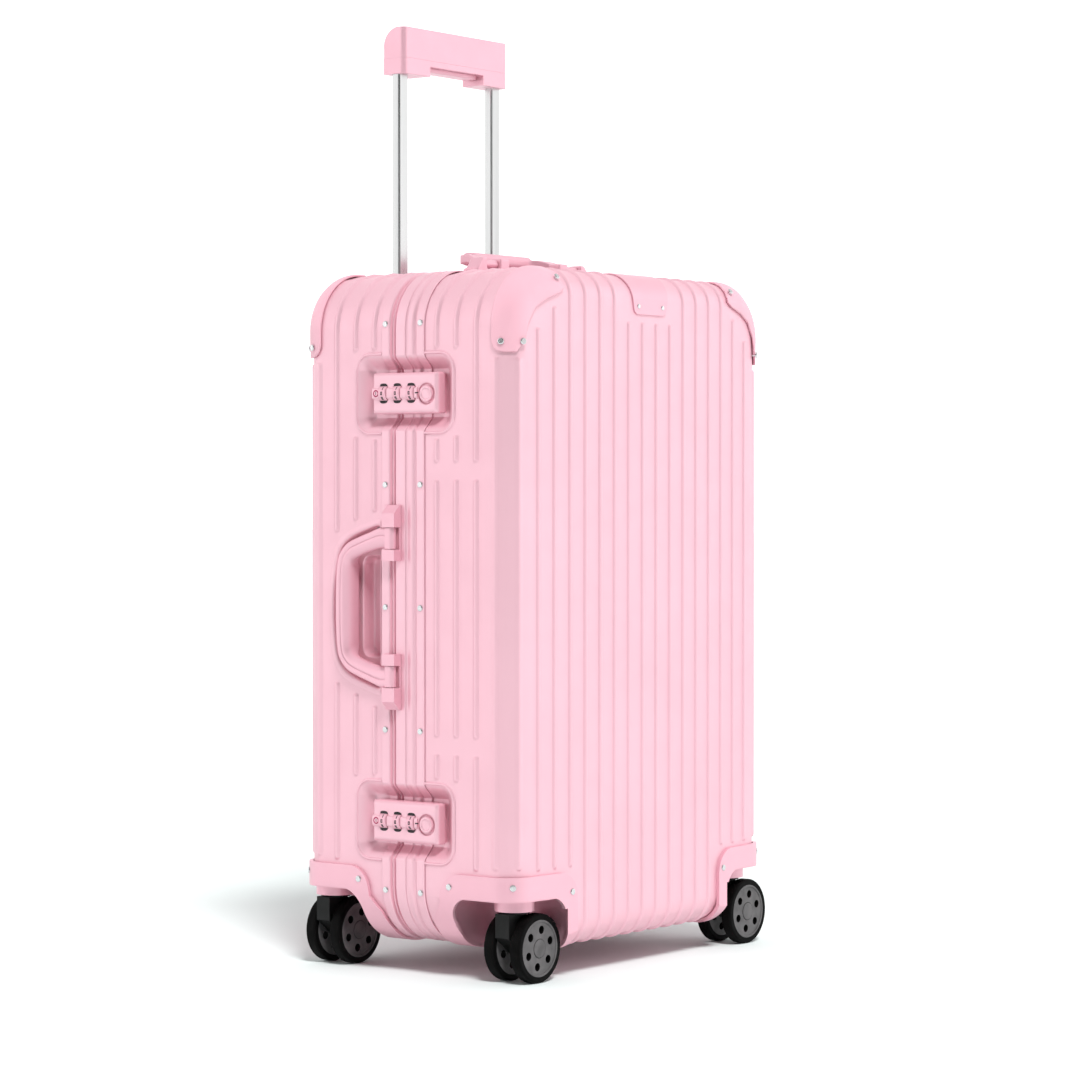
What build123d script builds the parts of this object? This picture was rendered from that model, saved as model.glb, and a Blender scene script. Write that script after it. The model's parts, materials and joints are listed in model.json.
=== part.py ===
from build123d import *
import os
from math import cos, radians, sin

os.makedirs("parts", exist_ok=True)

# A hard shell suitcase on four casters. Millimetres.
# X is the width: locks and side handle at -X, hinges at +X.
# Y is the depth: the wide front face at -Y, the trolley handle at +Y.
# Z is up, with the origin on the floor under the middle of the case.

# Driving dimensions of the case
case_bottom = 31.0
case_top = 675.0
case_half_width = 209.0
case_half_depth = 136.5        # at the middle of the crowned faces
crown = 5.6                    # how far the wide faces stand proud of their side edges
crown_reach = 178.0            # half of the crowned width
corner_radius = 57.0           # round corners of the outline seen from the front
side_edge_radius = 25.0        # upright edges between the wide and the narrow faces
top_edge_radius = 26.0         # edges between the wide faces and the top and bottom
wall = 1.5
air = 0.1                      # gap between a covering piece and the shell under it

case_middle = (case_bottom + case_top) / 2
case_height = case_top - case_bottom

# Where the two halves part, and the frame profiles on each side of it
split = -1.3
back_bar = 20.0                # depth of the back frame's solid bar
back_flange = 10.0             # flange over the back shell's edge
front_bar = 13.0
front_flange = 10.0
frame_proud = 1.4
frame_deep = 5.0
split_gap = 0.1

back_shell_start = split + back_bar
back_flange_end = back_shell_start + back_flange
front_shell_start = split - front_bar
front_flange_end = front_shell_start - front_flange
frame_face = case_half_width + frame_proud

# Ridges pressed into the shells
ridge_radius = 3.0
ridge_height = 2.2
ridge_pitch = 23.0
ridge_count = 16
side_ridges = (38.0, 62.0, 86.0)

# Lock recesses and locks
lock_offset = 204.5            # of each lock from the middle of the case
lock_recess_half = 58.4
lock_recess_tall = 73.0
recess_depth = 12.0
recess_corner = 14.0
pan_wall = 1.5

# Carry handles
handle_reach = 80.0
bracket_front = 4.2
bracket_depth = 15.6

# Casters
wheel_radius = 33.0
wheel_width = 12.0
caster_half_width = 21.4
caster_trail = 12.0
stem_x = 176.0
front_stem_y = -106.0
back_stem_y = 116.5
well_radius = 52.5               # clears the wheels at every swivel angle
well_roof = 79.5
boss_bottom = 68.5

# Wheel housings: a strap round each bottom corner, with an arched opening
housing_thick = 3.6
plate_thick = 1.7
housing_end_x = 119.0
housing_end_y = 44.0
housing_top = 103.0
arch_x = 135.0
arch_y = 56.0
arch_top = 80.5

# Corner caps
cap_thick = 3.2
cap_low = 594.0
cap_side_y = 105.0
cap_tip_x = 138.0

# Trolley handle
pole_x = 74.8
pole_y = 118.0
pole_width = 14.6
pole_depth = 10.6
tube_wall = 1.2
grip_half = 84.0
grip_bottom = 883.0
grip_top = 930.0
grip_front = 104.5
grip_back = 132.0


def save(name, shape):
    export_step(shape, f"parts/{name}.step")


def box(x0, x1, y0, y1, z0, z1):
    """A box from its low and high corners."""
    centre = Pos((x0 + x1) / 2, (y0 + y1) / 2, (z0 + z1) / 2)
    return centre * Box(abs(x1 - x0), abs(y1 - y0), abs(z1 - z0))


def rod(point, direction, radius, length):
    """A cylinder that starts at a point and runs along a direction."""
    return extrude(Plane(origin=point, z_dir=direction) * Circle(radius), length)


def mirrored(shape, plane):
    return mirror(shape, about=plane)


# ---------------------------------------------------------------- case form


def outline_slab(grow, y0, y1):
    """The front-view outline with its round corners, between two depths."""
    plane = Plane(origin=(0, y1, case_middle), x_dir=(1, 0, 0), z_dir=(0, -1, 0))
    width = 2 * (case_half_width + grow)
    outline = plane * RectangleRounded(width, case_height + 2 * grow, corner_radius + grow)
    return extrude(outline, y1 - y0)


def outline_ring(outer, inner, y0, y1):
    return outline_slab(outer, y0, y1) - outline_slab(inner, y0, y1)


def crown_face(grow):
    """The plan-view outline: rounded corners and a crowned face front and back."""
    side_depth = case_half_depth - crown + grow
    plan = RectangleRounded(2 * (case_half_width + grow), 2 * side_depth, side_edge_radius + grow)
    steps = [i / 4 for i in range(-4, 5)]
    curve = [(crown_reach * s, side_depth + crown * (1 - abs(s) ** 3)) for s in steps]
    bow = Spline(*curve)
    base = Polyline(curve[-1], (crown_reach, 0), (-crown_reach, 0), curve[0])
    lens = make_face([bow, base])
    return plan + lens + mirrored(lens, Plane.XZ)


def case_solid(grow):
    """The whole closed case, grown outward all round."""
    lift = case_bottom - 2 * housing_thick
    plan = extrude(Pos(0, 0, lift) * crown_face(grow), case_height + 4 * housing_thick)
    reach = case_half_width + 2 * housing_thick
    profile_plane = Plane(origin=(-reach, 0, case_middle), x_dir=(0, 1, 0), z_dir=(1, 0, 0))
    depth = 2 * (case_half_depth + grow)
    profile = RectangleRounded(depth, case_height + 2 * grow, top_edge_radius + grow)
    side = extrude(profile_plane * profile, 2 * reach)
    return outline_slab(grow, -depth / 2, depth / 2) & plan & side


outer_case = case_solid(0)
inner_case = case_solid(-wall)
over_case = case_solid(air)
half_range = case_half_depth + 10
everywhere = 400.0


def depth_range(y0, y1):
    return box(-everywhere, everywhere, y0, y1, 0, 2 * everywhere)


# ---------------------------------------------------------------- recesses


def side_block(depth, y_half, z_half, corner, z_mid, y_mid=0.0):
    """A rounded block sunk into the narrow side at -X, down to a depth."""
    plane = Plane(origin=(-case_half_width - 5, y_mid, z_mid), x_dir=(0, 1, 0), z_dir=(1, 0, 0))
    return extrude(plane * RectangleRounded(2 * y_half, 2 * z_half, corner), depth + 5)


def lock_pocket(z_mid, extra=0.0):
    half_y = lock_recess_half + extra
    half_z = lock_recess_tall / 2 + extra
    return side_block(recess_depth + extra, half_y, half_z, recess_corner + extra, z_mid, 0.7)


def lock_levels():
    return [case_middle - lock_offset, case_middle + lock_offset]


# The side handle lies in a pocket of the back shell, with a deeper hollow for the hand.
handle_pocket_y = (33.0, 96.0)
handle_pocket_half_z = 84.0
hand_hollow_y = (36.0, 62.0)
hand_hollow_half_z = 48.0
hand_hollow_depth = 25.0


def y_block(limits, depth, z_half, corner, extra):
    y_mid = sum(limits) / 2
    y_half = (limits[1] - limits[0]) / 2 + extra
    return side_block(depth + extra, y_half, z_half + extra, corner + extra, case_middle, y_mid)


def handle_pocket(extra=0.0):
    pocket = y_block(handle_pocket_y, recess_depth, handle_pocket_half_z, 26.0, extra)
    hollow = y_block(hand_hollow_y, hand_hollow_depth, hand_hollow_half_z, 11.0, extra)
    return pocket + hollow


# The top handle's hand pocket in the back half's top
top_pocket_y = (31.0, 78.0)
top_pocket_half_x = 66.0
top_pocket_depth = 13.0


def top_pocket(extra=0.0):
    y_mid = sum(top_pocket_y) / 2
    width = 2 * (top_pocket_half_x + extra)
    length = top_pocket_y[1] - top_pocket_y[0] + 2 * extra
    floor = case_top - top_pocket_depth - extra
    shape = Pos(0, y_mid, floor) * RectangleRounded(width, length, 16.0 + extra)
    return extrude(shape, top_pocket_depth + extra + 5)


def sunk(body, pocket, block, y0, y1):
    """Cut a pocket into a body and line it with a pan of the same sheet."""
    pan = (block - pocket) & outer_case & depth_range(y0, y1)
    return body - block + pan


# ---------------------------------------------------------------- wheel wells


def well_block(stem_y, extra):
    """The space of one wheel well at -X, its far corner rounded about the stem."""
    side = 1 if stem_y > 0 else -1
    reach = well_radius + extra
    deep_x = -stem_x + reach
    deep_y = side * (106.0 - reach)
    far_y = side * half_range
    block = box(-half_range * 2, deep_x, deep_y, far_y, 0, well_roof + extra)
    uprights = block.edges().filter_by(Axis.Z)
    inner = [e for e in uprights if e.center().X > deep_x - 1 and abs(e.center().Y - deep_y) < 1]
    return fillet(inner, 30.0 + extra)


def arch_prism(stem_y):
    """The arched opening seen from the narrow side and from the wide face."""
    side = 1 if stem_y > 0 else -1
    side_view = Plane(origin=(-everywhere, 0, 0), x_dir=(0, 1, 0), z_dir=(1, 0, 0))
    mid_y = side * (arch_y + everywhere / 2)
    from_side = side_view * Pos(mid_y, 0) * RectangleRounded(everywhere, 2 * arch_top, 22.0)
    front_view = Plane(origin=(0, everywhere, 0), x_dir=(1, 0, 0), z_dir=(0, -1, 0))
    mid_x = -arch_x - everywhere / 2
    from_front = front_view * Pos(mid_x, 0) * RectangleRounded(everywhere, 2 * arch_top, 22.0)
    return extrude(from_side, 2 * everywhere) & extrude(from_front, 2 * everywhere)


def strap_prism(stem_y):
    """The outline of the housing's strap, seen from both sides of its corner."""
    side = 1 if stem_y > 0 else -1
    side_view = Plane(origin=(-everywhere, 0, 0), x_dir=(0, 1, 0), z_dir=(1, 0, 0))
    mid_y = side * (housing_end_y + everywhere / 2)
    top = RectangleRounded(everywhere, 2 * housing_top, 24.0)
    flare = Polyline(
        (side * (housing_end_y + 20), 76.0),
        (side * (housing_end_y + 1), 76.0),
        (side * 33.0, 60.0),
        (side * (back_flange_end + 0.6), 44.0),
        (side * (back_flange_end + 0.6), 0.0),
        (side * (housing_end_y + 20), 0.0),
        close=True,
    )
    from_side = side_view * (Pos(mid_y, 0) * top + make_face(flare))
    front_view = Plane(origin=(0, everywhere, 0), x_dir=(1, 0, 0), z_dir=(0, -1, 0))
    mid_x = -housing_end_x - everywhere / 2
    from_front = front_view * Pos(mid_x, 0) * RectangleRounded(everywhere, 2 * housing_top, 25.0)
    return extrude(from_side, 2 * everywhere) & extrude(from_front, 2 * everywhere)


def housing(stem_y):
    """One wheel housing at -X: strap, wheel well and the boss over the caster."""
    side = 1 if stem_y > 0 else -1
    skin = (case_solid(housing_thick) - over_case) & strap_prism(stem_y)
    skin = skin & depth_range(*sorted((side * (back_flange_end + 0.6), side * 200)))
    skin = skin - arch_prism(stem_y)
    pot = well_block(stem_y, 2.0) & case_solid(housing_thick - 0.3)
    pot = pot & depth_range(*sorted((side * (back_flange_end + 0.6), side * 200)))
    pot = pot - well_block(stem_y, 0.0)
    skin = skin - rod((-stem_x, stem_y, 0), (0, 0, 1), well_radius, boss_bottom)
    boss = rod((-stem_x, stem_y, boss_bottom), (0, 0, 1), 19.0, well_roof - boss_bottom + 1)
    bearing_hole = rod((-stem_x, stem_y, boss_bottom - 1), (0, 0, 1), 9.0, well_roof - boss_bottom)
    return skin + pot + boss - bearing_hole


def bearing(stem_y):
    """The bush in the housing's boss that the fork's stem turns in."""
    bush = rod((-stem_x, stem_y, boss_bottom + 0.2), (0, 0, 1), 9.0, well_roof - boss_bottom - 1.2)
    return bush - rod((-stem_x, stem_y, 0), (0, 0, 1), 5.06, 200)


# ---------------------------------------------------------------- shells


def ridge_depth(x):
    """Depth of the crowned face at a place across its width."""
    return case_half_depth - crown * min(1.0, abs(x) / crown_reach) ** 3


def face_ridges(side, low, high):
    """The upright ridges on one wide face, as round bars let into the surface."""
    bars = []
    for i in range(ridge_count):
        x = (i - (ridge_count - 1) / 2) * ridge_pitch
        y = side * (ridge_depth(x) + ridge_height - ridge_radius)
        bars.append(rod((x, y, low), (0, 0, 1), ridge_radius, high - low))
    return bars


def narrow_ridges(side):
    """The upright ridges on both narrow sides of one half, between the recesses."""
    runs = [(case_middle - 150, case_middle - 92), (case_middle + 92, case_middle + 150)]
    bars = []
    for x_side in (-1, 1):
        for y in side_ridges:
            for low, high in runs:
                x = x_side * (case_half_width + ridge_height - ridge_radius)
                bars.append(rod((x, side * y, low), (0, 0, 1), ridge_radius, high - low))
    return bars


ridge_low = housing_top + 9
ridge_high = cap_low - 9
pressed = outer_case - inner_case


def back_shell():
    shell = pressed & depth_range(back_shell_start, 200)
    outside = [bar - inner_case for bar in face_ridges(1, ridge_low, ridge_high) + narrow_ridges(1)]
    shell = shell + outside
    for z in lock_levels():
        shell = sunk(shell, lock_pocket(z), lock_pocket(z, pan_wall), back_shell_start, 200)
    shell = sunk(shell, handle_pocket(), handle_pocket(pan_wall), back_shell_start, 200)
    shell = sunk(shell, top_pocket(), top_pocket(pan_wall), back_shell_start, 200)
    for x in (-pole_x, pole_x):
        shell = shell - box(x - 10.8, x + 10.8, pole_y - 8.8, pole_y + 8.8, case_top - 10, case_top + 10)
    well = well_block(back_stem_y, 2.0 + air)
    return shell - well - mirrored(well, Plane.YZ)


def front_shell():
    shell = pressed & depth_range(-200, front_shell_start)
    outside = [bar - inner_case for bar in face_ridges(-1, ridge_low, ridge_high) + narrow_ridges(-1)]
    shell = shell + outside
    for z in lock_levels():
        shell = sunk(shell, lock_pocket(z), lock_pocket(z, pan_wall), -200, front_shell_start)
    well = well_block(front_stem_y, 2.0 + air)
    return shell - well - mirrored(well, Plane.YZ)


def lining(side, start, floor_depth):
    """A thin lining tray inside one half, with a flat floor panel."""
    y0, y1 = sorted((side * start, side * floor_depth))
    liner = (case_solid(-wall - 0.6) - case_solid(-wall - 1.8)) & depth_range(y0, y1)
    f0, f1 = sorted((side * (floor_depth - 1.2), side * floor_depth))
    floor = case_solid(-wall - 0.6) & depth_range(f0, f1)
    liner = liner + floor
    for z in lock_levels():
        liner = liner - lock_pocket(z, pan_wall + 2.0)
    stem_y = back_stem_y if side > 0 else front_stem_y
    well = well_block(stem_y, 3.5)
    liner = liner - well - mirrored(well, Plane.YZ)
    if side > 0:
        liner = liner - handle_pocket(pan_wall + 0.8) - top_pocket(pan_wall + 0.8)
    return liner


# ---------------------------------------------------------------- frame


def frame_pan(z_mid, y0, y1):
    """Where the frame dips through a lock recess."""
    pan = lock_pocket(z_mid, 3.0) - lock_pocket(z_mid)
    return pan & depth_range(y0, y1) & outline_slab(0, y0, y1)


def back_frame():
    start = split
    bar = outline_ring(frame_proud, -frame_deep, start, back_shell_start - 0.05)
    groove = outline_ring(frame_proud + 1, -2.6, start + 12.6, back_shell_start - 0.6)
    seal_seat = outline_ring(-1.2, -3.6, start - 1, start + 2.5)
    flange = outline_ring(frame_proud, 0.05, back_shell_start - 0.7, back_flange_end)
    inner = outline_ring(-wall - 0.05, -3.2, back_shell_start - 0.1, back_flange_end - 2)
    frame = bar - groove - seal_seat + flange + inner
    for z in lock_levels():
        frame = frame - lock_pocket(z, 3.0) + frame_pan(z, start, back_shell_start - 0.1)
    pocket = handle_pocket(pan_wall + 0.2)
    return frame - pocket - top_pocket(pan_wall + 0.2)


def front_frame():
    start = split - split_gap
    bar = outline_ring(frame_proud, -frame_deep, front_shell_start + 0.05, start)
    groove = outline_ring(frame_proud + 1, -1.0, front_shell_start + 0.6, front_shell_start + 2.6)
    flange = outline_ring(frame_proud, 0.05, front_flange_end, front_shell_start + 0.7)
    inner = outline_ring(-wall - 0.05, -3.2, front_flange_end + 2, front_shell_start + 0.1)
    frame = bar - groove + flange + inner
    for z in lock_levels():
        frame = frame - lock_pocket(z, 3.0) + frame_pan(z, front_shell_start + 0.1, start)
    return frame


def gasket():
    seal = outline_ring(-1.25, -3.55, split - 0.04, split + 2.45)
    for z in lock_levels():
        seal = seal - lock_pocket(z, 3.1)
    return seal


def button_head(point, normal, radius, height, shank):
    """A domed rivet or screw head standing on a surface, with its shank."""
    head = extrude(Plane(origin=point, z_dir=normal) * Circle(radius), height)
    rim = head.edges().sort_by(lambda e: -(e.center() - Vector(*point)).dot(Vector(*normal)))[0]
    head = fillet(rim, height * 0.8)
    back = tuple(-c for c in normal)
    return head + rod(point, back, radius * 0.45, shank)


def frame_rivets(y):
    """Rivets along one flange: down both sides, along the top and bottom."""
    heads = []
    for dz in (-271.0, -117.3, 0.0, 117.3, 271.0):
        for side in (-1, 1):
            corner = abs(dz) > 265
            x = side * (frame_face - (0.35 if corner else 0.0))
            heads.append(button_head((x, y, case_middle + dz), (side, 0, 0), 3.1, 1.3, 4.0))
    for x in (-128.0, 128.0):
        heads.append(button_head((x, y, case_top + frame_proud), (0, 0, 1), 3.1, 1.3, 4.0))
        heads.append(button_head((x, y, case_bottom - frame_proud), (0, 0, -1), 3.1, 1.3, 4.0))
    return Compound(children=heads)


# ---------------------------------------------------------------- corner caps and plates


def cap_prism(side):
    """The cap's outline, seen from the narrow side and from the wide face."""
    side_view = Plane(origin=(-everywhere, 0, 0), x_dir=(0, 1, 0), z_dir=(1, 0, 0))
    mid_y = side * (cap_side_y + 100)
    from_side = side_view * Pos(mid_y, cap_low + 100) * RectangleRounded(200, 200, 12.0)
    front_view = Plane(origin=(0, everywhere, 0), x_dir=(1, 0, 0), z_dir=(0, -1, 0))
    tip_z = 655.0
    outline = Polyline(
        (-300, cap_low),
        (-200, cap_low),
        (-193, 604),
        (-188, 621),
        (-178, 636),
        (-164, 644),
        (-146, 650),
        (-cap_tip_x, tip_z),
        (-cap_tip_x - 3, 672),
        (-cap_tip_x - 12, 700),
        (-300, 700),
        close=True,
    )
    from_front = front_view * make_face(outline)
    return extrude(from_side, 2 * everywhere) & extrude(from_front, 2 * everywhere)


def corner_cap(side):
    cap = (case_solid(cap_thick) - over_case) & cap_prism(side)
    return cap


def edge_plate():
    """The plate riveted over the middle of the front half's top edge."""
    skin = case_solid(plate_thick) - over_case
    view = Plane(origin=(0, everywhere, 0), x_dir=(1, 0, 0), z_dir=(0, -1, 0))
    outline = Polyline((-33, 700), (-33, 672), (-26, 636), (26, 636), (33, 672), (33, 700), close=True)
    reach = extrude(view * make_face(outline), 2 * everywhere)
    return skin & reach & box(-60, 60, -200, -84, 600, 700)


def corner_point(angle, grow, side):
    """A point on the rounded upright edge at -X, and the normal there."""
    a = radians(angle)
    radius = side_edge_radius + grow
    x = -(case_half_width - side_edge_radius) - radius * cos(a)
    y = side * (case_half_depth - crown - side_edge_radius + radius * sin(a))
    return (x, y), (-cos(a), side * sin(a), 0)


def corner_screws(side, with_plate):
    """Screws of both caps and both housings of one half, and of the edge plate."""
    screws = []
    for angle in (22.0, 66.0):
        (x, y), normal = corner_point(angle, cap_thick, side)
        screws.append(button_head((x, y, 603.8), normal, 3.2, 1.2, 4.0))
    (x, y), normal = corner_point(45.0, housing_thick, side)
    screws.append(button_head((x, y, 93.5), normal, 3.2, 1.2, 4.0))
    side_x = -case_half_width - housing_thick
    screws.append(button_head((side_x, side * 56.0, 90.5), (-1, 0, 0), 3.2, 1.2, 4.0))
    front_y = side * (ridge_depth(127.0) + housing_thick)
    screws.append(button_head((-127.0, front_y, 84.0), (0, side, 0), 3.2, 1.0, 4.0))
    edge = top_edge_radius + cap_thick
    tip_y = case_half_depth - top_edge_radius + edge * cos(radians(38))
    tip_z = case_top - top_edge_radius + edge * sin(radians(38))
    tilt = (0, side * cos(radians(38)), sin(radians(38)))
    screws.append(button_head((-146.0, side * (tip_y - 0.4), tip_z - 0.3), tilt, 3.0, 1.2, 4.5))
    both = screws + [mirrored(s, Plane.YZ) for s in screws]
    if with_plate:
        for x in (-20.0, 20.0):
            y = -case_half_depth - plate_thick + 0.1
            both.append(button_head((x, y, 644.0), (0, -1, 0), 2.4, 0.9, 4.0))
    return Compound(children=both)


# ---------------------------------------------------------------- hinges

hinge_axis_x = 217.0
knuckle_radius = 4.0
pin_radius = 1.8
hinge_levels = (case_middle - 215.0, case_middle, case_middle + 215.0)


def hinge_leaf(side, segments, z_mid):
    """One leaf: a plate on the frame's face and its knuckles on the hinge axis."""
    y0, y1 = sorted((split + side * 1.0, split + side * 10.5))
    leaf = box(frame_face, frame_face + 2.0, y0, y1, z_mid - 30, z_mid + 30)
    for low, high in segments:
        knuckle = rod((hinge_axis_x, split, z_mid + low), (0, 0, 1), knuckle_radius, high - low)
        w0, w1 = sorted((split + side * 1.0, split + side * 3.4))
        web = box(frame_face + 0.5, hinge_axis_x, w0, w1, z_mid + low, z_mid + high)
        leaf = leaf + knuckle + web
    return leaf


def back_hinges():
    parts = []
    for z in hinge_levels:
        leaf = hinge_leaf(1, [(-30, -10), (10, 30)], z)
        pin = rod((hinge_axis_x, split, z - 29), (0, 0, 1), pin_radius, 58)
        parts.append(leaf + pin)
    return Compound(children=parts)


def front_hinges():
    parts = []
    for z in hinge_levels:
        leaf = hinge_leaf(-1, [(-9.8, 9.8)], z)
        bore = rod((hinge_axis_x, split, z - 31), (0, 0, 1), pin_radius + 0.06, 62)
        parts.append(leaf - bore)
    return Compound(children=parts)


# ---------------------------------------------------------------- carry handles

side_pivot_x = -215.6
pivot_y = 11.6
lug_runs = ((44.5, 55.4), (76.6, 98.0))
lug_runs_top = ((41.0, 55.4), (76.6, 92.0))
knuckle_run = (56.0, 76.0)
handle_pin = 2.4


def bracket(lugs, thick, base_run, face, riser):
    """A handle bracket on the frame, built as if its face looked up +Z, along +X."""
    y0 = bracket_front
    y1 = bracket_front + bracket_depth
    base = box(base_run[0], base_run[1], y0, y1 + 4.0, face, face + 1.6 + riser)
    shape = base
    for low, high in lugs:
        shape = shape + box(low, high, y0, y1, face + 0.8, face + thick)
    outer_end = lugs[1][1]
    slope = Polyline(
        (outer_end - 9.0, face + thick + 1),
        (outer_end + 1, face + thick + 1),
        (outer_end + 1, face + 2.0 + riser),
        (outer_end, face + 2.0 + riser),
        close=True,
    )
    view = Plane(origin=(0, 60, 0), x_dir=(1, 0, 0), z_dir=(0, -1, 0))
    return shape - extrude(view * make_face(slope), 120)


def bracket_pins(shape, axis_height, runs):
    """Blind pin holes for the handle's trunnions, along the pivot."""
    for low, high in runs:
        shape = shape - rod((low, pivot_y, axis_height), (1, 0, 0), handle_pin + 0.06, high - low)
    return shape


def grip_arm(points_out, points_in, low, high):
    """A D-shaped carry handle as a flat plate, both halves of its outline."""
    right = points_out + [(0, points_out[-1][1])]
    outer = [(-x, y) for x, y in reversed(right)]
    inner = points_in + [(-x, y) for x, y in reversed(points_in)]
    loop = right + outer[1:] + list(reversed(inner))
    face = make_face(Polyline(*loop, close=True))
    return extrude(Pos(0, 0, low) * face, high - low)


def carry_handle(face, out_pts, in_pts, grip_y, grip_half_x, levels):
    """Knuckles with trunnions, splayed legs and a thicker grip."""
    low, high, grip_low, grip_high = levels
    arm = grip_arm(out_pts, in_pts, low, high)
    grip = box(-grip_half_x, grip_half_x, grip_y[0], grip_y[1], grip_low, grip_high)
    along = grip.edges().filter_by(Axis.X)
    grip = fillet(along, 4.5)
    shape = arm + grip
    for side in (-1, 1):
        x0, x1 = sorted((side * knuckle_run[0], side * knuckle_run[1]))
        shape = shape - box(x0 - 2, x1 + 2, pivot_y - 20, pivot_y, low - 1, high + 1)
        shape = shape + rod((x0, pivot_y, face), (1, 0, 0), 4.5, x1 - x0)
        shape = shape + rod((x0 - 5, pivot_y, face), (1, 0, 0), handle_pin, x1 - x0 + 10)
    return shape


def to_side(shape):
    """Turn a piece built looking up, along +X, so that it looks out at -X, along +Z."""
    turned = Rot(0, -90, 0) * shape
    return Pos(0, 0, case_middle) * turned


side_out = [(76.0, pivot_y), (76.0, 24.0), (64.0, 62.0), (53.0, 73.5), (38.0, 78.0), (6.0, handle_reach)]
side_in = [(56.0, pivot_y), (56.0, 33.0), (47.0, 56.0), (43.5, 63.0)]
top_reach = 61.0
top_out = [(76.0, pivot_y), (76.0, 20.0), (60.0, 52.0), (52.0, 59.0), (44.0, top_reach)]
top_in = [(56.0, pivot_y), (56.0, 22.0), (44.0, 42.0), (40.0, 44.5)]

# Heights above the case's axis for the side, and above the floor for the top
side_face = frame_face
side_thick = 10.6
top_face = case_top + frame_proud
top_riser = 6.8
top_thick = 18.3
top_pivot_z = top_face + top_riser + 5.4


def side_handle():
    face = -side_pivot_x
    levels = (face - 4.4, face + 4.2, face - 15.0, face + 3.6)
    shape = carry_handle(face, side_out, side_in, (63.0, handle_reach), 47.0, levels)
    return to_side(shape)


def side_brackets():
    parts = []
    for side in (-1, 1):
        shape = bracket(lug_runs, side_thick, (44.5, 98.0), side_face, 0.0)
        shape = shape - box(55.4, 76.6, pivot_y - 6, pivot_y + 20, side_face + 0.5, side_face + 20)
        shape = bracket_pins(shape, -side_pivot_x, ((50.5, 55.6), (76.4, 81.5)))
        shape = shape if side > 0 else mirrored(shape, Plane.YZ)
        parts.append(to_side(shape))
    return Compound(children=parts)


def top_handle():
    face = top_pivot_z
    levels = (face - 4.4, face + 4.2, face - 5.5, face + 7.5)
    shape = carry_handle(face, top_out, top_in, (44.0, top_reach), 46.0, levels)
    return shape


def top_brackets():
    parts = []
    for side in (-1, 1):
        shape = bracket(lug_runs_top, top_thick, (41.0, 92.0), top_face, top_riser - 1.0)
        shape = shape - box(55.4, 76.6, pivot_y - 6, pivot_y + 20, top_face + top_riser - 0.2, top_face + 40)
        shape = bracket_pins(shape, top_pivot_z, ((50.5, 55.6), (76.4, 81.5)))
        parts.append(shape if side > 0 else mirrored(shape, Plane.YZ))
    return Compound(children=parts)


# ---------------------------------------------------------------- locks

lock_floor_x = -(case_half_width - recess_depth)
lock_front = -213.2
lock_y = (-42.5, 38.0)
lock_half_z = 19.6
lock_pivot_x = -204.0
lock_pivot_y = 34.0
dial_y = (23.5, 6.5, -10.5)
dial_radius = 8.0
dial_width = 8.6
dial_bore = 1.6
dial_x = -208.9
knob_y = -29.0
knob_radius = 7.6
base_thick = 2.4


def lock_base(z_mid):
    """The plate on the back half's recess floor, with the ears of the lever's pivot."""
    plate = box(lock_floor_x - base_thick, lock_floor_x, split + 1.0, 42.0, z_mid - 18, z_mid + 18)
    for side in (-1, 1):
        z0, z1 = sorted((z_mid + side * 20.0, z_mid + side * 23.5))
        ear = box(lock_pivot_x - 4, lock_floor_x, 29.0, 40.0, z0, z1)
        foot = box(lock_floor_x - 2.0, lock_floor_x, 29.0, 40.0, *sorted((z_mid, z1 if side > 0 else z0)))
        plate = plate + ear + foot
    pivot = rod((lock_pivot_x, lock_pivot_y, z_mid - 23.5), (0, 0, 1), 1.8, 47)
    return plate + pivot


def lock_strike(z_mid):
    """The plate on the lid's recess floor that the lever closes over."""
    plate = box(lock_floor_x - base_thick, lock_floor_x, -40.0, split - 1.0, z_mid - 18, z_mid + 18)
    return plate - box(lock_floor_x - base_thick - 1, lock_floor_x - 1.5, -34, -24, z_mid - 8, z_mid + 8)


def lock_lever(z_mid):
    """The lever case: a bevelled block with dial slots and the raised bar between them."""
    back = lock_floor_x - base_thick - 0.4
    block = box(lock_front, back, lock_y[0], lock_y[1], z_mid - lock_half_z, z_mid + lock_half_z)
    face_edges = block.faces().sort_by(Axis.X)[0].edges()
    block = chamfer(face_edges, 2.6)
    block = block + box(lock_front - 1.3, lock_front + 2, -16.0, 36.5, z_mid - 6.0, z_mid + 6.0)
    for y in dial_y:
        slot = rod((dial_x, y - dial_width / 2 - 0.4, z_mid), (0, 1, 0), dial_radius + 0.5, dial_width + 0.8)
        block = block - slot
    axle_start = dial_y[-1] - dial_width
    axle_end = dial_y[0] + dial_width
    block = block + rod((dial_x, axle_start, z_mid), (0, 1, 0), dial_bore - 0.1, axle_end - axle_start)
    seat = rod((lock_front + 2.2, knob_y, z_mid - 1.0), (-1, 0, 0), knob_radius + 2.4, 10)
    block = block - seat
    bore = rod((lock_pivot_x, lock_pivot_y, z_mid - 30), (0, 0, 1), 1.86, 60)
    block = block - bore
    sweep = rod((lock_pivot_x, lock_pivot_y, z_mid - 30), (0, 0, 1), 4.4, 60)
    notch = box(back - 3, back + 1, lock_pivot_y, lock_y[1] + 1, z_mid - 30, z_mid + 30)
    return block - (notch - sweep)


def lock_dial(z_mid, y):
    """A number wheel with a knurled rim, turning on its own axle line."""
    wheel = rod((dial_x, y - dial_width / 2, z_mid), (0, 1, 0), dial_radius, dial_width)
    wheel = chamfer(wheel.edges(), 0.5)
    return wheel - rod((dial_x, y - dial_width, z_mid), (0, 1, 0), dial_bore, 2 * dial_width)


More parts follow.
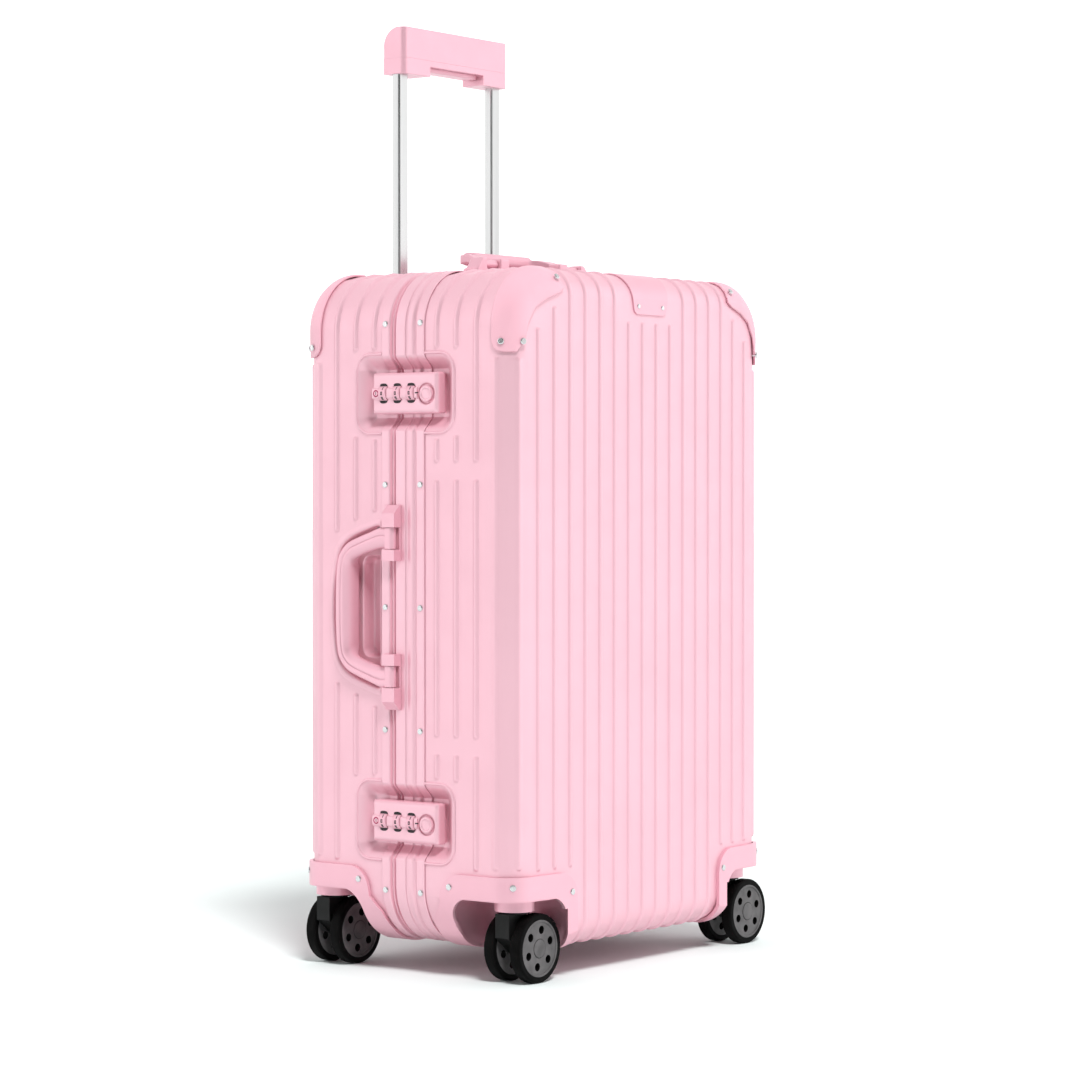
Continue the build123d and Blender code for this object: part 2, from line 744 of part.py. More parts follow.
def lock_knob(z_mid):
    """The dished round knob that slides to let the lever go."""
    low = (lock_front + 2.1, knob_y, z_mid - 1.0)
    top = (lock_front - 1.5, knob_y, z_mid - 1.0)
    knob = rod(low, (-1, 0, 0), knob_radius, 3.6)
    knob = chamfer(knob.faces().sort_by(Axis.X)[0].edges(), 0.7)
    dish = Plane(origin=top, z_dir=(1, 0, 0)) * Circle(knob_radius - 1.8)
    return knob - extrude(dish, 1.2, taper=40)


# ---------------------------------------------------------------- casters


def caster_fork(x, y):
    """Stem, swivel plate and the upright arm that carries the axle between the wheels."""
    axle_x = x + caster_trail
    stem = rod((x, y, 66.0), (0, 0, 1), 5.0, 11.5)
    plate = rod((x, y, 66.3), (0, 0, 1), 14.5, 1.9)
    view = Plane(origin=(0, y + 8.2, 0), x_dir=(1, 0, 0), z_dir=(0, -1, 0))
    outline = Polyline(
        (axle_x - 31, 66.9),
        (axle_x - 4, 66.9),
        (axle_x + 2, 46),
        (axle_x + 8, wheel_radius + 4),
        (axle_x + 6, wheel_radius - 7),
        (axle_x - 8, wheel_radius - 7),
        (axle_x - 31, 44),
        close=True,
    )
    arm = extrude(view * make_face(outline), 16.4)
    bore = rod((axle_x, y - 20, wheel_radius), (0, 1, 0), 3.06, 40)
    return stem + plate + arm - bore


def caster_wheel_face(x, y, side):
    """One hub disc, dished outside, with six round holes."""
    inner = y + side * (caster_half_width - wheel_width)
    disc = rod((x, inner, wheel_radius), (0, side, 0), 27.0, wheel_width)
    disc = disc - rod((x, inner + side * (wheel_width - 0.8), wheel_radius), (0, side, 0), 25.0, 2)
    disc = disc + rod((x, inner, wheel_radius), (0, side, 0), 8.6, wheel_width - 0.3)
    for i in range(6):
        a = radians(60 * i + 20)
        centre = (x + 17.6 * cos(a), inner - side * 1, wheel_radius + 17.6 * sin(a))
        disc = disc - rod(centre, (0, side, 0), 3.9, wheel_width + 2)
    return disc


def caster_hubs(x, y):
    axle_x = x + caster_trail
    reach = caster_half_width - wheel_width + 3
    axle = rod((axle_x, y - reach, wheel_radius), (0, 1, 0), 3.0, 2 * reach)
    return axle + caster_wheel_face(axle_x, y, -1) + caster_wheel_face(axle_x, y, 1)


def caster_tyres(x, y):
    rings = []
    for side in (-1, 1):
        start = (x + caster_trail, y + side * (caster_half_width - wheel_width), wheel_radius)
        ring = rod(start, (0, side, 0), wheel_radius, wheel_width)
        ring = fillet(ring.edges(), 2.4)
        rings.append(ring - rod(start, (0, side, 0), 27.0, wheel_width))
    return Compound(children=rings)


# ---------------------------------------------------------------- trolley handle

middle_wall = 1.2
middle_width = pole_width + 2 * middle_wall + 0.7
middle_depth = pole_depth + 2 * middle_wall + 0.7
sleeve_width = middle_width + 3.6
sleeve_depth = middle_depth + 3.6
sleeve_bottom = 92.0


def tube(width, depth, thick, z0, z1, x):
    outer = Pos(x, pole_y, z0) * RectangleRounded(width, depth, 2.6)
    inner = Pos(x, pole_y, z0) * RectangleRounded(width - 2 * thick, depth - 2 * thick, 1.2)
    return extrude(outer - inner, z1 - z0)


def tube_pair(width, depth, thick, z0, z1):
    pair = [tube(width, depth, thick, z0, z1, x) for x in (-pole_x, pole_x)]
    return Compound(children=pair)


def sleeves():
    """Fixed outer tubes inside the back shell, each closed by a foot."""
    parts = []
    for x in (-pole_x, pole_x):
        body = tube(sleeve_width, sleeve_depth, 1.5, sleeve_bottom, case_top - wall - 0.2, x)
        foot = box(x - 14, x + 14, pole_y - 8, pole_y + 8, sleeve_bottom - 3, sleeve_bottom)
        parts.append(body + foot)
    return Compound(children=parts)


def collars():
    """Plastic guides where the poles leave the top of the case."""
    parts = []
    for x in (-pole_x, pole_x):
        plate = box(x - 16, x + 16, pole_y - 12, pole_y + 9.6, case_top + 0.05, case_top + 1.9)
        plate = plate & outline_slab(5, 0, 200) & case_solid(2.0)
        throat = box(x - 10.6, x + 10.6, pole_y - 8.6, pole_y + 8.6, case_top - wall, case_top + 0.5)
        hole = box(
            x - middle_width / 2 - 0.3,
            x + middle_width / 2 + 0.3,
            pole_y - middle_depth / 2 - 0.3,
            pole_y + middle_depth / 2 + 0.3,
            case_top - 20,
            case_top + 20,
        )
        parts.append(plate + throat - hole)
    return Compound(children=parts)


def middle_tubes():
    """The middle stage, with a bush at its top that closes round the upper tube."""
    parts = []
    top = case_top + 0.4
    for x in (-pole_x, pole_x):
        body = tube(middle_width, middle_depth, middle_wall, top - 560, top, x)
        parts.append(body)
    return Compound(children=parts)


def grip_section(y0, y1, z0, z1, half):
    """The grip's block: flat in front, rounded towards the back and at its ends."""
    view = Plane(origin=(-half, 0, 0), x_dir=(0, 1, 0), z_dir=(1, 0, 0))
    round_back = 22.0
    outline = [
        Line((y0, z0), (y1, z0)),
        Line((y1, z0), (y1, z1 - round_back)),
        ThreePointArc((y1, z1 - round_back), (y1 - 5.2, z1 - 5.8), (y1 - 18.0, z1)),
        Line((y1 - 18.0, z1), (y0, z1)),
        Line((y0, z1), (y0, z0)),
    ]
    return extrude(view * make_face(outline), 2 * half)


seam_z = 899.0
leg_inner_x = 43.0
slot_roof = 893.0


def grip_cover():
    body = grip_section(grip_front, grip_back, grip_bottom, grip_top, grip_half)
    upright = body.edges().filter_by(Axis.Z).filter_by(lambda e: e.center().Y < grip_front + 1)
    body = fillet(upright, 6.0)
    cover = body & box(-200, 200, 0, 200, seam_z, 1000)
    for x in (-pole_x, pole_x):
        cover = cover - tube_core(x, grip_bottom - 1, seam_z + 12)
    return cover


def tube_core(x, z0, z1):
    block = Pos(x, pole_y, z0) * RectangleRounded(pole_width, pole_depth, 2.6)
    return extrude(block, z1 - z0)


def grip_base():
    body = grip_section(grip_front, grip_back, grip_bottom, grip_top, grip_half)
    upright = body.edges().filter_by(Axis.Z).filter_by(lambda e: e.center().Y < grip_front + 1)
    body = fillet(upright, 6.0)
    base = body & box(-200, 200, 0, 200, grip_bottom, seam_z - 0.05)
    gap = box(-leg_inner_x, leg_inner_x, 0, 200, 0, slot_roof)
    base = base - gap
    bar_room = box(-40, 40, grip_front + 6, grip_back - 5, 0, seam_z)
    base = base - bar_room
    for x in (-pole_x, pole_x):
        base = base - tube_core(x, grip_bottom - 1, seam_z + 1)
    return base


def release_bar():
    """The bar under the grip that is squeezed up to free the tubes."""
    bar = box(-39.4, 39.4, grip_front + 6.6, grip_back - 5.6, slot_roof - 4.5, slot_roof + 1.0)
    return fillet(bar.edges().filter_by(Axis.X), 1.2)


# ---------------------------------------------------------------- packing straps


def straps():
    """Two flat webbing straps with their buckles, lying on the back half's floor panel."""
    parts = []
    for z in (case_middle - 120, case_middle + 120):
        band = box(-160, 190, 101.2, 102.6, z - 15, z + 15)
        buckle = box(-20, 20, 98.6, 101.2, z - 19, z + 19)
        parts.append(band + fillet(buckle.edges().filter_by(Axis.Y), 5.0))
    return Compound(children=parts)


# ---------------------------------------------------------------- write the parts

across = Plane.YZ

save("back_shell", back_shell())
save("front_shell", front_shell())
save("back_frame", back_frame())
save("front_frame", front_frame())
save("frame_gasket", gasket())
save("back_rivets", frame_rivets(split + back_bar + 5.0))
save("front_rivets", frame_rivets(split - front_bar - 5.2))
save("back_lining", lining(1, back_flange_end + 1.0, 104.0))
save("front_lining", lining(-1, -front_flange_end + 1.0, 128.0))

for half, stem_y in (("back", back_stem_y), ("front", front_stem_y)):
    left = housing(stem_y)
    save(f"{half}_housing_left", left)
    save(f"{half}_housing_right", mirrored(left, across))
    side = 1 if half == "back" else -1
    cap = corner_cap(side)
    save(f"{half}_cap_left", cap)
    save(f"{half}_cap_right", mirrored(cap, across))
    save(f"{half}_screws", corner_screws(side, half == "front"))
    bush = bearing(stem_y)
    save(f"{half}_bearings", Compound(children=[bush, mirrored(bush, across)]))

save("edge_plate", edge_plate())
save("back_hinges", back_hinges())
save("front_hinges", front_hinges())
save("side_handle", side_handle())
save("side_brackets", side_brackets())
save("top_handle", top_handle())
save("top_brackets", top_brackets())

for name, z in zip(("lower", "upper"), lock_levels()):
    save(f"lock_lever_{name}", lock_lever(z))
    save(f"lock_knob_{name}", lock_knob(z))
    for number, y in enumerate(dial_y, start=1):
        save(f"dial_{name}_{number}", lock_dial(z, y))
save("lock_bases", Compound(children=[lock_base(z) for z in lock_levels()]))
save("lock_strikes", Compound(children=[lock_strike(z) for z in lock_levels()]))

caster_places = {
    "front_left": (-stem_x, front_stem_y),
    "front_right": (stem_x, front_stem_y),
    "back_left": (-stem_x, back_stem_y),
    "back_right": (stem_x, back_stem_y),
}
for place, (x, y) in caster_places.items():
    save(f"fork_{place}", caster_fork(x, y))
    save(f"hubs_{place}", caster_hubs(x, y))
    save(f"tyres_{place}", caster_tyres(x, y))

save("pole_sleeves", sleeves())
save("pole_collars", collars())
save("middle_tubes", middle_tubes())
save("upper_tubes", tube_pair(pole_width, pole_depth, tube_wall, 330.0, seam_z + 11))
save("grip_cover", grip_cover())
save("grip_base", grip_base())
save("release_bar", release_bar())
save("packing_straps", straps())
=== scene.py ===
import json
from contextlib import contextmanager
from math import cos, pi, radians, sin, sqrt

import bmesh
import bpy
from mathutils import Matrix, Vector
from mathutils.kdtree import KDTree


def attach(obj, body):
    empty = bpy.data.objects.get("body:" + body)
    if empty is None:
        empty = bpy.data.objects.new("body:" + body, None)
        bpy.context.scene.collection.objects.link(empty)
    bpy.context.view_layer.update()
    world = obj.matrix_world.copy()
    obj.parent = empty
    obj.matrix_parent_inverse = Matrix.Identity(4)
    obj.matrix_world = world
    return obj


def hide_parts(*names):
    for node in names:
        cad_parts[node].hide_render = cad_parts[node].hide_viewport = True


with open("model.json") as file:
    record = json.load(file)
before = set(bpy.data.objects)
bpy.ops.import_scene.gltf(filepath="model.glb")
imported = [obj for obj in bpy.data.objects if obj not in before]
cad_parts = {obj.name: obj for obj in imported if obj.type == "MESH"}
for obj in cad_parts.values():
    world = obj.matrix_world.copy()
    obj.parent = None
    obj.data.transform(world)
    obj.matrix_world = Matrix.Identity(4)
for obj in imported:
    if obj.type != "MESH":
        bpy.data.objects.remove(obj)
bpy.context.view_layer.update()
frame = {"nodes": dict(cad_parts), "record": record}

# The looks of a hard shell suitcase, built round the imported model.
# Lengths are millimetres until a mesh is made, and metres from there on.
# X is the width (locks at -X), Y the depth (lid at -Y), Z is up.
MM = 0.001

bodies = frame["record"]["behaviour"]["bodies"]
BODY_OF = {node: body for body, nodes in bodies.items() for node in nodes}

# ---------------------------------------------------------------- sizes of the case

BOTTOM = 31.0
TOP = 675.0
MIDDLE = (BOTTOM + TOP) / 2
HALF_WIDTH = 209.0
HALF_DEPTH = 136.5
CORNER = 57.0                  # corner radius of the outline seen from the front
EDGE = 26.0                    # radius of the edges round the wide faces
CROWN = 5.8                    # drop of the wide faces from the middle to the sides
FACE_X = HALF_WIDTH - EDGE     # the wide face's flat part ends here
FACE_Z = (TOP - BOTTOM) / 2 - EDGE
STRAIGHT_X = HALF_WIDTH - CORNER
STRAIGHT_Z = (TOP - BOTTOM) / 2 - CORNER
SHEET = 1.4                    # thickness of the shells

SPLIT = -1.3                   # where the two frame profiles meet
BACK_FLANGE_END = 28.7
FRONT_FLANGE_END = -24.3

RIDGE_HALF = 3.1
RIDGE_HIGH = 2.1
RIDGE_PITCH = 23.04
RIDGE_X = [(i - 8.5) * RIDGE_PITCH for i in range(18)]

LOCK_Z = (MIDDLE - 204.5, MIDDLE + 204.5)
LOCK_Y_MID = 0.7
LOCK_HALF_Y = 58.4
LOCK_HALF_Z = 36.5
LOCK_CORNER = 15.0
RECESS_DEPTH = 12.0

CORNERS = [(end, side) for end in ("front", "back") for side in ("left", "right")]


# ---------------------------------------------------------------- mesh helpers


def link_object(name, data):
    obj = bpy.data.objects.new(name, data)
    bpy.context.scene.collection.objects.link(obj)
    return obj


def shade(mesh, smooth=True):
    for polygon in mesh.polygons:
        polygon.use_smooth = smooth


def make_object(name, verts, faces, smooth=True):
    """A mesh object from points in millimetres."""
    mesh = bpy.data.meshes.new(name)
    mesh.from_pydata([(x * MM, y * MM, z * MM) for x, y, z in verts], [], faces)
    mesh.validate()
    shade(mesh, smooth)
    return link_object(name, mesh)


@contextmanager
def edited(mesh):
    """A bmesh of a mesh, written back to it at the end."""
    bm = bmesh.new()
    bm.from_mesh(mesh)
    yield bm
    bm.to_mesh(mesh)
    bm.free()


def cut_off(bm, spot, normal, close=True):
    """Cut away what lies beyond a plane, and close the cut where that's wanted."""
    cut = bmesh.ops.bisect_plane(
        bm,
        geom=bm.verts[:] + bm.edges[:] + bm.faces[:],
        dist=1e-6,
        plane_co=spot,
        plane_no=normal,
        clear_outer=True,
    )
    if close:
        open_edges = [e for e in cut["geom_cut"] if isinstance(e, bmesh.types.BMEdge)]
        bmesh.ops.holes_fill(bm, edges=open_edges)


def face_out(obj):
    with edited(obj.data) as bm:
        bmesh.ops.recalc_face_normals(bm, faces=bm.faces[:])


def skin(rows, closed=False):
    """Points and faces of a skin over rows of points, where a row is a section's outline.

    The last row joins the first one if closed, and otherwise both ends get a cap.
    """
    size = len(rows[0])
    faces = []
    for s in range(len(rows) if closed else len(rows) - 1):
        after = (s + 1) % len(rows)
        for p in range(size):
            q = (p + 1) % size
            faces.append([s * size + p, s * size + q, after * size + q, after * size + p])
    if not closed:
        last = (len(rows) - 1) * size
        faces += [list(range(size))[::-1], list(range(last, last + size))]
    return [point for row in rows for point in row], faces


def join(parts):
    """One set of points and faces from several."""
    verts, faces = [], []
    for more_verts, more_faces in parts:
        shift = len(verts)
        verts += more_verts
        faces += [[i + shift for i in face] for face in more_faces]
    return verts, faces


def curve_point(p0, p1, p2, p3, t):
    """The place at share t between p1 and p2, on a smooth curve through all four."""
    return 0.5 * (2 * p1 + (p2 - p0) * t + (2 * p0 - 5 * p1 + 4 * p2 - p3) * t * t
                  + (3 * p1 - p0 - 3 * p2 + p3) * t ** 3)


def apply_modifiers(obj):
    """Replace the object's mesh by what its modifiers make of it."""
    bpy.context.view_layer.update()
    graph = bpy.context.evaluated_depsgraph_get()
    mesh = bpy.data.meshes.new_from_object(obj.evaluated_get(graph))
    obj.modifiers.clear()
    obj.data = mesh
    return obj


def thicken(obj, thickness):
    solid = obj.modifiers.new("sheet", "SOLIDIFY")
    solid.thickness = thickness * MM
    solid.offset = -1
    return apply_modifiers(obj)


def weight_normals(obj):
    obj.modifiers.new("normals", "WEIGHTED_NORMAL").keep_sharp = True


# ---------------------------------------------------------------- materials

NOISE_SPAN = (0.3, 0.7)        # most of a noise's values lie between these


def add_node(tree, kind, inputs, **settings):
    """A shader node with its settings; an input is a value or another node's output."""
    made = tree.nodes.new(kind)
    for key, value in settings.items():
        setattr(made, key, value)
    for key, value in inputs.items():
        if isinstance(value, bpy.types.NodeSocket):
            tree.links.new(value, made.inputs[key])
        else:
            made.inputs[key].default_value = value
    return made


def map_range(tree, source, span, values, kind="LINEAR"):
    """Turn a span of the source's values into other ones: low and high of each."""
    inputs = dict(zip(("From Min", "From Max", "To Min", "To Max"), (*span, *values)))
    inputs["Value"] = source
    return add_node(tree, "ShaderNodeMapRange", inputs, interpolation_type=kind).outputs["Result"]


class Material:
    """A principled material with a small kit for procedural detail."""

    def __init__(self, name, color, roughness, **values):
        self.material = bpy.data.materials.new(name)
        self.material.use_nodes = True
        self.tree = self.material.node_tree
        self.shader = self.tree.nodes["Principled BSDF"]
        self.shader.inputs["Base Color"].default_value = (*color, 1.0)
        self.shader.inputs["Roughness"].default_value = roughness
        for key, value in values.items():
            self.shader.inputs[key.replace("_", " ")].default_value = value
        self.coords = self.tree.nodes.new("ShaderNodeTexCoord").outputs["Object"]
        self.base = color

    def feed(self, output, name):
        """Lead a node's output to an input of the shader."""
        self.tree.links.new(output, self.shader.inputs[name])

    def noise(self, scale, detail=3.0, stretch=(1, 1, 1)):
        mapping = add_node(self.tree, "ShaderNodeMapping", {"Vector": self.coords, "Scale": stretch})
        inputs = {"Vector": mapping.outputs["Vector"], "Scale": scale, "Detail": detail}
        return add_node(self.tree, "ShaderNodeTexNoise", inputs).outputs["Fac"]

    def tint(self, source, low, high):
        """Colour that wanders between two tones of the base colour."""
        ramp = add_node(self.tree, "ShaderNodeValToRGB", {"Fac": source})
        ramp.color_ramp.elements[0].position = 0.35
        ramp.color_ramp.elements[1].position = 0.65
        for element, factor in zip(ramp.color_ramp.elements, (low, high)):
            element.color = (*(min(1.0, c * factor) for c in self.base), 1.0)
        self.feed(ramp.outputs["Color"], "Base Color")

    def rough(self, source, low, high):
        self.feed(map_range(self.tree, source, NOISE_SPAN, (low, high)), "Roughness")

    def bump(self, source, distance, strength):
        """Relief of a depth in mm."""
        inputs = {"Height": source, "Distance": distance * MM, "Strength": strength}
        self.feed(add_node(self.tree, "ShaderNodeBump", inputs).outputs["Normal"], "Normal")


def painted(name, color, roughness, grain, metallic=0.5):
    """Satin paint or moulded plastic with a very fine grain."""
    made = Material(name, color, roughness, Metallic=metallic)
    made.tint(made.noise(9.0, 4.0), 0.985, 1.012)
    made.rough(made.noise(45.0, 5.0), roughness - 0.04, roughness + 0.05)
    made.bump(made.noise(2400.0, 2.0), grain, 0.5)
    return made.material


def metal(name, color, roughness, stretch, scratch=0.012):
    made = Material(name, color, roughness, Metallic=1.0)
    lines = made.noise(260.0, 3.0, stretch)
    made.rough(lines, roughness - 0.06, roughness + 0.08)
    made.tint(made.noise(60.0, 2.0, stretch), 0.94, 1.03)
    made.bump(lines, scratch, 0.6)
    return made.material


def rubber(name, color, roughness, grain, shine=0.35):
    made = Material(name, color, roughness)
    made.shader.inputs["Specular IOR Level"].default_value = shine
    made.tint(made.noise(70.0, 4.0), 0.8, 1.3)
    made.rough(made.noise(110.0, 4.0), roughness - 0.07, roughness + 0.09)
    made.bump(made.noise(1500.0, 3.0), grain, 0.6)
    return made.material


def woven(name, color, thread):
    """Plain weave: two crossed waves, with the threads' own unevenness."""
    made = Material(name, color, 0.85, Sheen_Weight=0.3, Sheen_Roughness=0.5)
    inputs = {"Vector": made.coords, "Scale": 1 / (thread * MM) / 20, "Distortion": 0.4}
    warp, weft = (
        add_node(made.tree, "ShaderNodeTexWave", inputs, wave_type="BANDS", bands_direction=axis)
        for axis in ("X", "Z")
    )
    crossed = {0: warp.outputs["Fac"], 1: weft.outputs["Fac"]}
    both = add_node(made.tree, "ShaderNodeMath", crossed, operation="MULTIPLY")
    made.tint(made.noise(300.0, 5.0), 0.85, 1.12)
    made.bump(both.outputs["Value"], 0.25, 0.7)
    return made.material


PINK = (0.85, 0.505, 0.585)
PINK_DEEP = (0.83, 0.465, 0.55)
LOOKS = {
    "shell": painted("shell_pink", PINK, 0.46, 0.004),
    "trim": painted("trim_pink", PINK_DEEP, 0.42, 0.004),
    "frame": painted("frame_pink", (0.845, 0.50, 0.58), 0.40, 0.003),
    "lock": painted("lock_pink", PINK, 0.42, 0.004),
    "grip": painted("grip_pink", PINK_DEEP, 0.38, 0.006),
    "dial": painted("dial_pink", PINK_DEEP, 0.45, 0.004),
    "steel": metal("steel_head", (0.72, 0.72, 0.73), 0.24, (1, 1, 1)),
    "hinge": metal("hinge_steel", (0.66, 0.66, 0.67), 0.32, (1, 1, 0.05)),
    "pole": metal("pole_satin", (0.64, 0.64, 0.64), 0.30, (1, 1, 0.02)),
    "sleeve": metal("sleeve_dull", (0.55, 0.55, 0.56), 0.45, (1, 1, 0.02)),
    "fork": rubber("fork_black", (0.006, 0.006, 0.006), 0.38, 0.01, 0.2),
    "hub": rubber("hub_grey", (0.085, 0.08, 0.082), 0.45, 0.01),
    # Black rubber of the tyres; the hubs' hole walls take it too, as painted shade
    "tyre": rubber("tyre_black_and_hole_shade", (0.003, 0.0028, 0.0028), 0.6, 0.03, 0.05),
    # Dark rubber of the seals; the hubs' thin rings take it too, as painted shade of their grooves
    "seal": rubber("seal_dark_and_groove_shade", (0.015, 0.014, 0.014), 0.6, 0.02),
    "bush": rubber("bush_white", (0.7, 0.7, 0.68), 0.4, 0.004),
    "lining": woven("lining_weave", (0.42, 0.34, 0.355), 0.8),
    "strap": woven("strap_weave", (0.12, 0.095, 0.10), 1.2),
}
CAP_LOOK = painted("cap_pink", (0.80, 0.44, 0.52), 0.48, 0.004, 0.25)
# Dark ink for the printed numbers and the mark, also used as painted shade in the lock's slots and keyhole
# slit
INK_AND_SHADE = rubber("ink_and_painted_shade", (0.02, 0.014, 0.016), 0.5, 0.004)
KEY_RED = painted("key_red", (0.36, 0.02, 0.09), 0.4, 0.004, 0.2)


def fit(obj, slot, body, look=None):
    """Give a piece the look of the slot named, or the look given instead, and the body that it moves with."""
    obj.data.materials.clear()
    obj.data.materials.append(look or LOOKS[slot])
    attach(obj, body)


def stand_in(obj, slot, node, look=None):
    """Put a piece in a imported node's place."""
    fit(obj, slot, BODY_OF[node], look)
    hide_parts(node)


slot_of_node = {part["node"]: part["material_slot"] for part in frame["record"]["subparts"]}
for node_name, node_object in frame["nodes"].items():
    node_object.data.materials.clear()
    node_object.data.materials.append(LOOKS[slot_of_node[node_name]])


# ---------------------------------------------------------------- camera, light and floor


def add_camera():
    camera = bpy.data.cameras.new("camera")
    camera.sensor_width = 36.0
    camera.lens = 110.09
    camera.clip_end = 50
    obj = link_object("camera", camera)
    obj.location = (-2.63342, -2.01310, 0.46099)
    obj.rotation_euler = (radians(90 - 0.79), 0, radians(-52.63))
    bpy.context.scene.camera = obj


def add_sun(name, towards, spread_degrees, strength):
    """A large far softbox, seen from the object in the direction given."""
    light = bpy.data.lights.new(name, "SUN")
    light.angle = radians(spread_degrees)
    light.energy = strength
    obj = link_object(name, light)
    obj.location = Vector(towards) * 3
    obj.rotation_euler = (-Vector(towards)).to_track_quat("-Z", "Y").to_euler()
    obj.visible_glossy = False


# The studio's walls by direction: white all round, with a darker open side in front of the object.
OPEN_SIDE = (-0.79, -0.61, 0.0)
WALL_BRIGHT = 1.42
WALL_DARK = 0.05
CEILING_SHARE = 0.5


def add_world():
    world = bpy.data.worlds.new("studio")
    bpy.context.scene.world = world
    world.use_nodes = True
    tree = world.node_tree
    coords = tree.nodes.new("ShaderNodeTexCoord").outputs["Generated"]
    directions = {0: coords, 1: OPEN_SIDE}
    facing = add_node(tree, "ShaderNodeVectorMath", directions, operation="DOT_PRODUCT")
    parts = add_node(tree, "ShaderNodeSeparateXYZ", {"Vector": coords})
    walls = (WALL_BRIGHT, WALL_DARK)
    level = map_range(tree, facing.outputs["Value"], (0.3, 0.92), walls, "SMOOTHSTEP")
    overhead = map_range(tree, parts.outputs["Z"], (0.2, 0.75), (1.0, CEILING_SHARE), "SMOOTHSTEP")
    product = add_node(tree, "ShaderNodeMath", {0: level, 1: overhead}, operation="MULTIPLY")
    background = tree.nodes["Background"]
    background.inputs["Color"].default_value = (1.0, 1.0, 1.0, 1.0)
    tree.links.new(product.outputs["Value"], background.inputs["Strength"])


def add_floor():
    mesh = bpy.data.meshes.new("floor")
    reach = 30.0
    corners = [(-reach, -reach, 0), (reach, -reach, 0), (reach, reach, 0), (-reach, reach, 0)]
    mesh.from_pydata(corners, [], [(0, 1, 2, 3)])
    floor = link_object("floor", mesh)
    pale = Material("floor_pale", (0.745, 0.80, 0.79), 0.9)
    pale.tint(pale.noise(3.0), 0.995, 1.0)
    floor.data.materials.append(pale.material)


add_camera()
add_world()
add_sun("key", (-0.60, -0.80, 1.15), 14, 3.3)
add_floor()
bpy.context.scene.view_settings.view_transform = "Standard"
bpy.context.scene.view_settings.look = "None"

# ---------------------------------------------------------------- ribbed shells


def crown_drop(x):
    return CROWN * min(1.0, abs(x) / FACE_X) ** 3


def face_point(u, v):
    """A grid point of the wide face, with the grid's square corners drawn in to round ones."""
    inner = CORNER - EDGE
    a = (abs(u) - STRAIGHT_X) / inner
    b = (abs(v) - STRAIGHT_Z) / inner
    if a <= 0 or b <= 0:
        return u, v
    x = STRAIGHT_X + inner * a * sqrt(1 - b * b / 2)
    z = STRAIGHT_Z + inner * b * sqrt(1 - a * a / 2)
    return (x if u > 0 else -x), (z if v > 0 else -z)


def stretch_of(u, v):
    """Which stretch of the outline a border point of the grid lies on."""
    if abs(v) <= STRAIGHT_Z:
        return "side"
    if abs(u) <= STRAIGHT_X:
        return "top" if v > 0 else "bottom"
    return "corner"


def outward(u, v):
    """The outline's normal at a border point of the wide face's grid."""
    x, z = face_point(u, v)
    at = stretch_of(u, v)
    dx, dz = abs(x) - STRAIGHT_X, abs(z) - STRAIGHT_Z
    if at != "corner":
        dx, dz = (1.0, 0.0) if at == "side" else (0.0, 1.0)
    length = sqrt(dx * dx + dz * dz)
    return (dx if x > 0 else -dx) / length, (dz if z > 0 else -dz) / length


def ridge(across, beyond=0.0):
    """Height of a round-ended ridge, from the distance across it and past its end."""
    gone = (across * across + beyond * beyond) / (RIDGE_HALF * RIDGE_HALF)
    if gone >= 1.0:
        return 0.0
    return RIDGE_HIGH * (1.0 - gone) ** 0.75


def past(value, spans):
    """How far a place lies outside the nearest span, counting the ridge's round tips."""
    best = 1e9
    for low, high in spans:
        best = min(best, max(0.0, low + RIDGE_HALF - value, value - (high - RIDGE_HALF)))
    return best


FAR = 1e6
ARC = EDGE * pi / 2
WRAP_END = ARC + 7.0           # ridges that wrap over the edge end this far round it
LOW_END = 107.0                # ridges that would meet a wheel housing start here


def wide_span(k, back):
    """How far a ridge of the wide face runs, by its place from the middle: (low z, high z).

    A ridge that no cap, housing, plate or pole stops wraps over the edge, and has FAR there.
    """
    place = abs(RIDGE_X[k])
    low = LOW_END if place > 120 else -FAR
    high = FAR
    if place > 165:
        high = 617.5
    elif place > 140:
        high = 638.5
    elif place < 40 and not back:
        high = 628.5
    elif 60 < place < 90 and back:
        high = 640.0
    return low, high


# Where the ridges of the narrow sides run, by depth: spans of z at -X and at +X
NARROW = {
    "front": {
        38.4: ([(191, 215), (231, 475), (491, 514), (599, FAR)], [(LOW_END, FAR)]),
        62.0: ([(189.2, 215), (231, 475), (491, 516.8), (598.2, FAR)], [(LOW_END, FAR)]),
        86.0: ([(LOW_END, 215), (231, 475), (491, FAR)], [(LOW_END, FAR)]),
    },
    "back": {
        38.4: ([(191, 258), (444, 514), (599, FAR)], [(LOW_END, FAR)]),
        62.0: ([(189.2, 269), (436, 516.8), (598.2, FAR)], [(LOW_END, FAR)]),
        86.0: ([(LOW_END, 279), (424, FAR)], [(LOW_END, FAR)]),
    },
}
EDGE_RIDGES = (radians(29.5), radians(80.0))
EDGE_RIDGE_SPAN = [(109.0, 589.0)]


def spread(points, step):
    """Sorted places with no two nearly alike, and long gaps filled at a step."""
    kept = []
    for p in sorted(points):
        if not kept or p - kept[-1] > 0.45:
            kept.append(p)
    full = [kept[0]]
    for p in kept[1:]:
        count = max(1, round((p - full[-1]) / step))
        start = full[-1]
        full += [start + (p - start) * i / count for i in range(1, count + 1)]
    return full


def ridge_samples(centre):
    return [centre + d for d in (-3.5, -3.0, -2.3, -1.2, 0, 1.2, 2.3, 3.0, 3.5)]


def tip_samples(z):
    """Grid lines that follow a ridge's round tip, whichever way it points."""
    return [z - 3.2, z - 1.6, z - 0.4, z + 0.4, z + 1.6, z + 3.2]


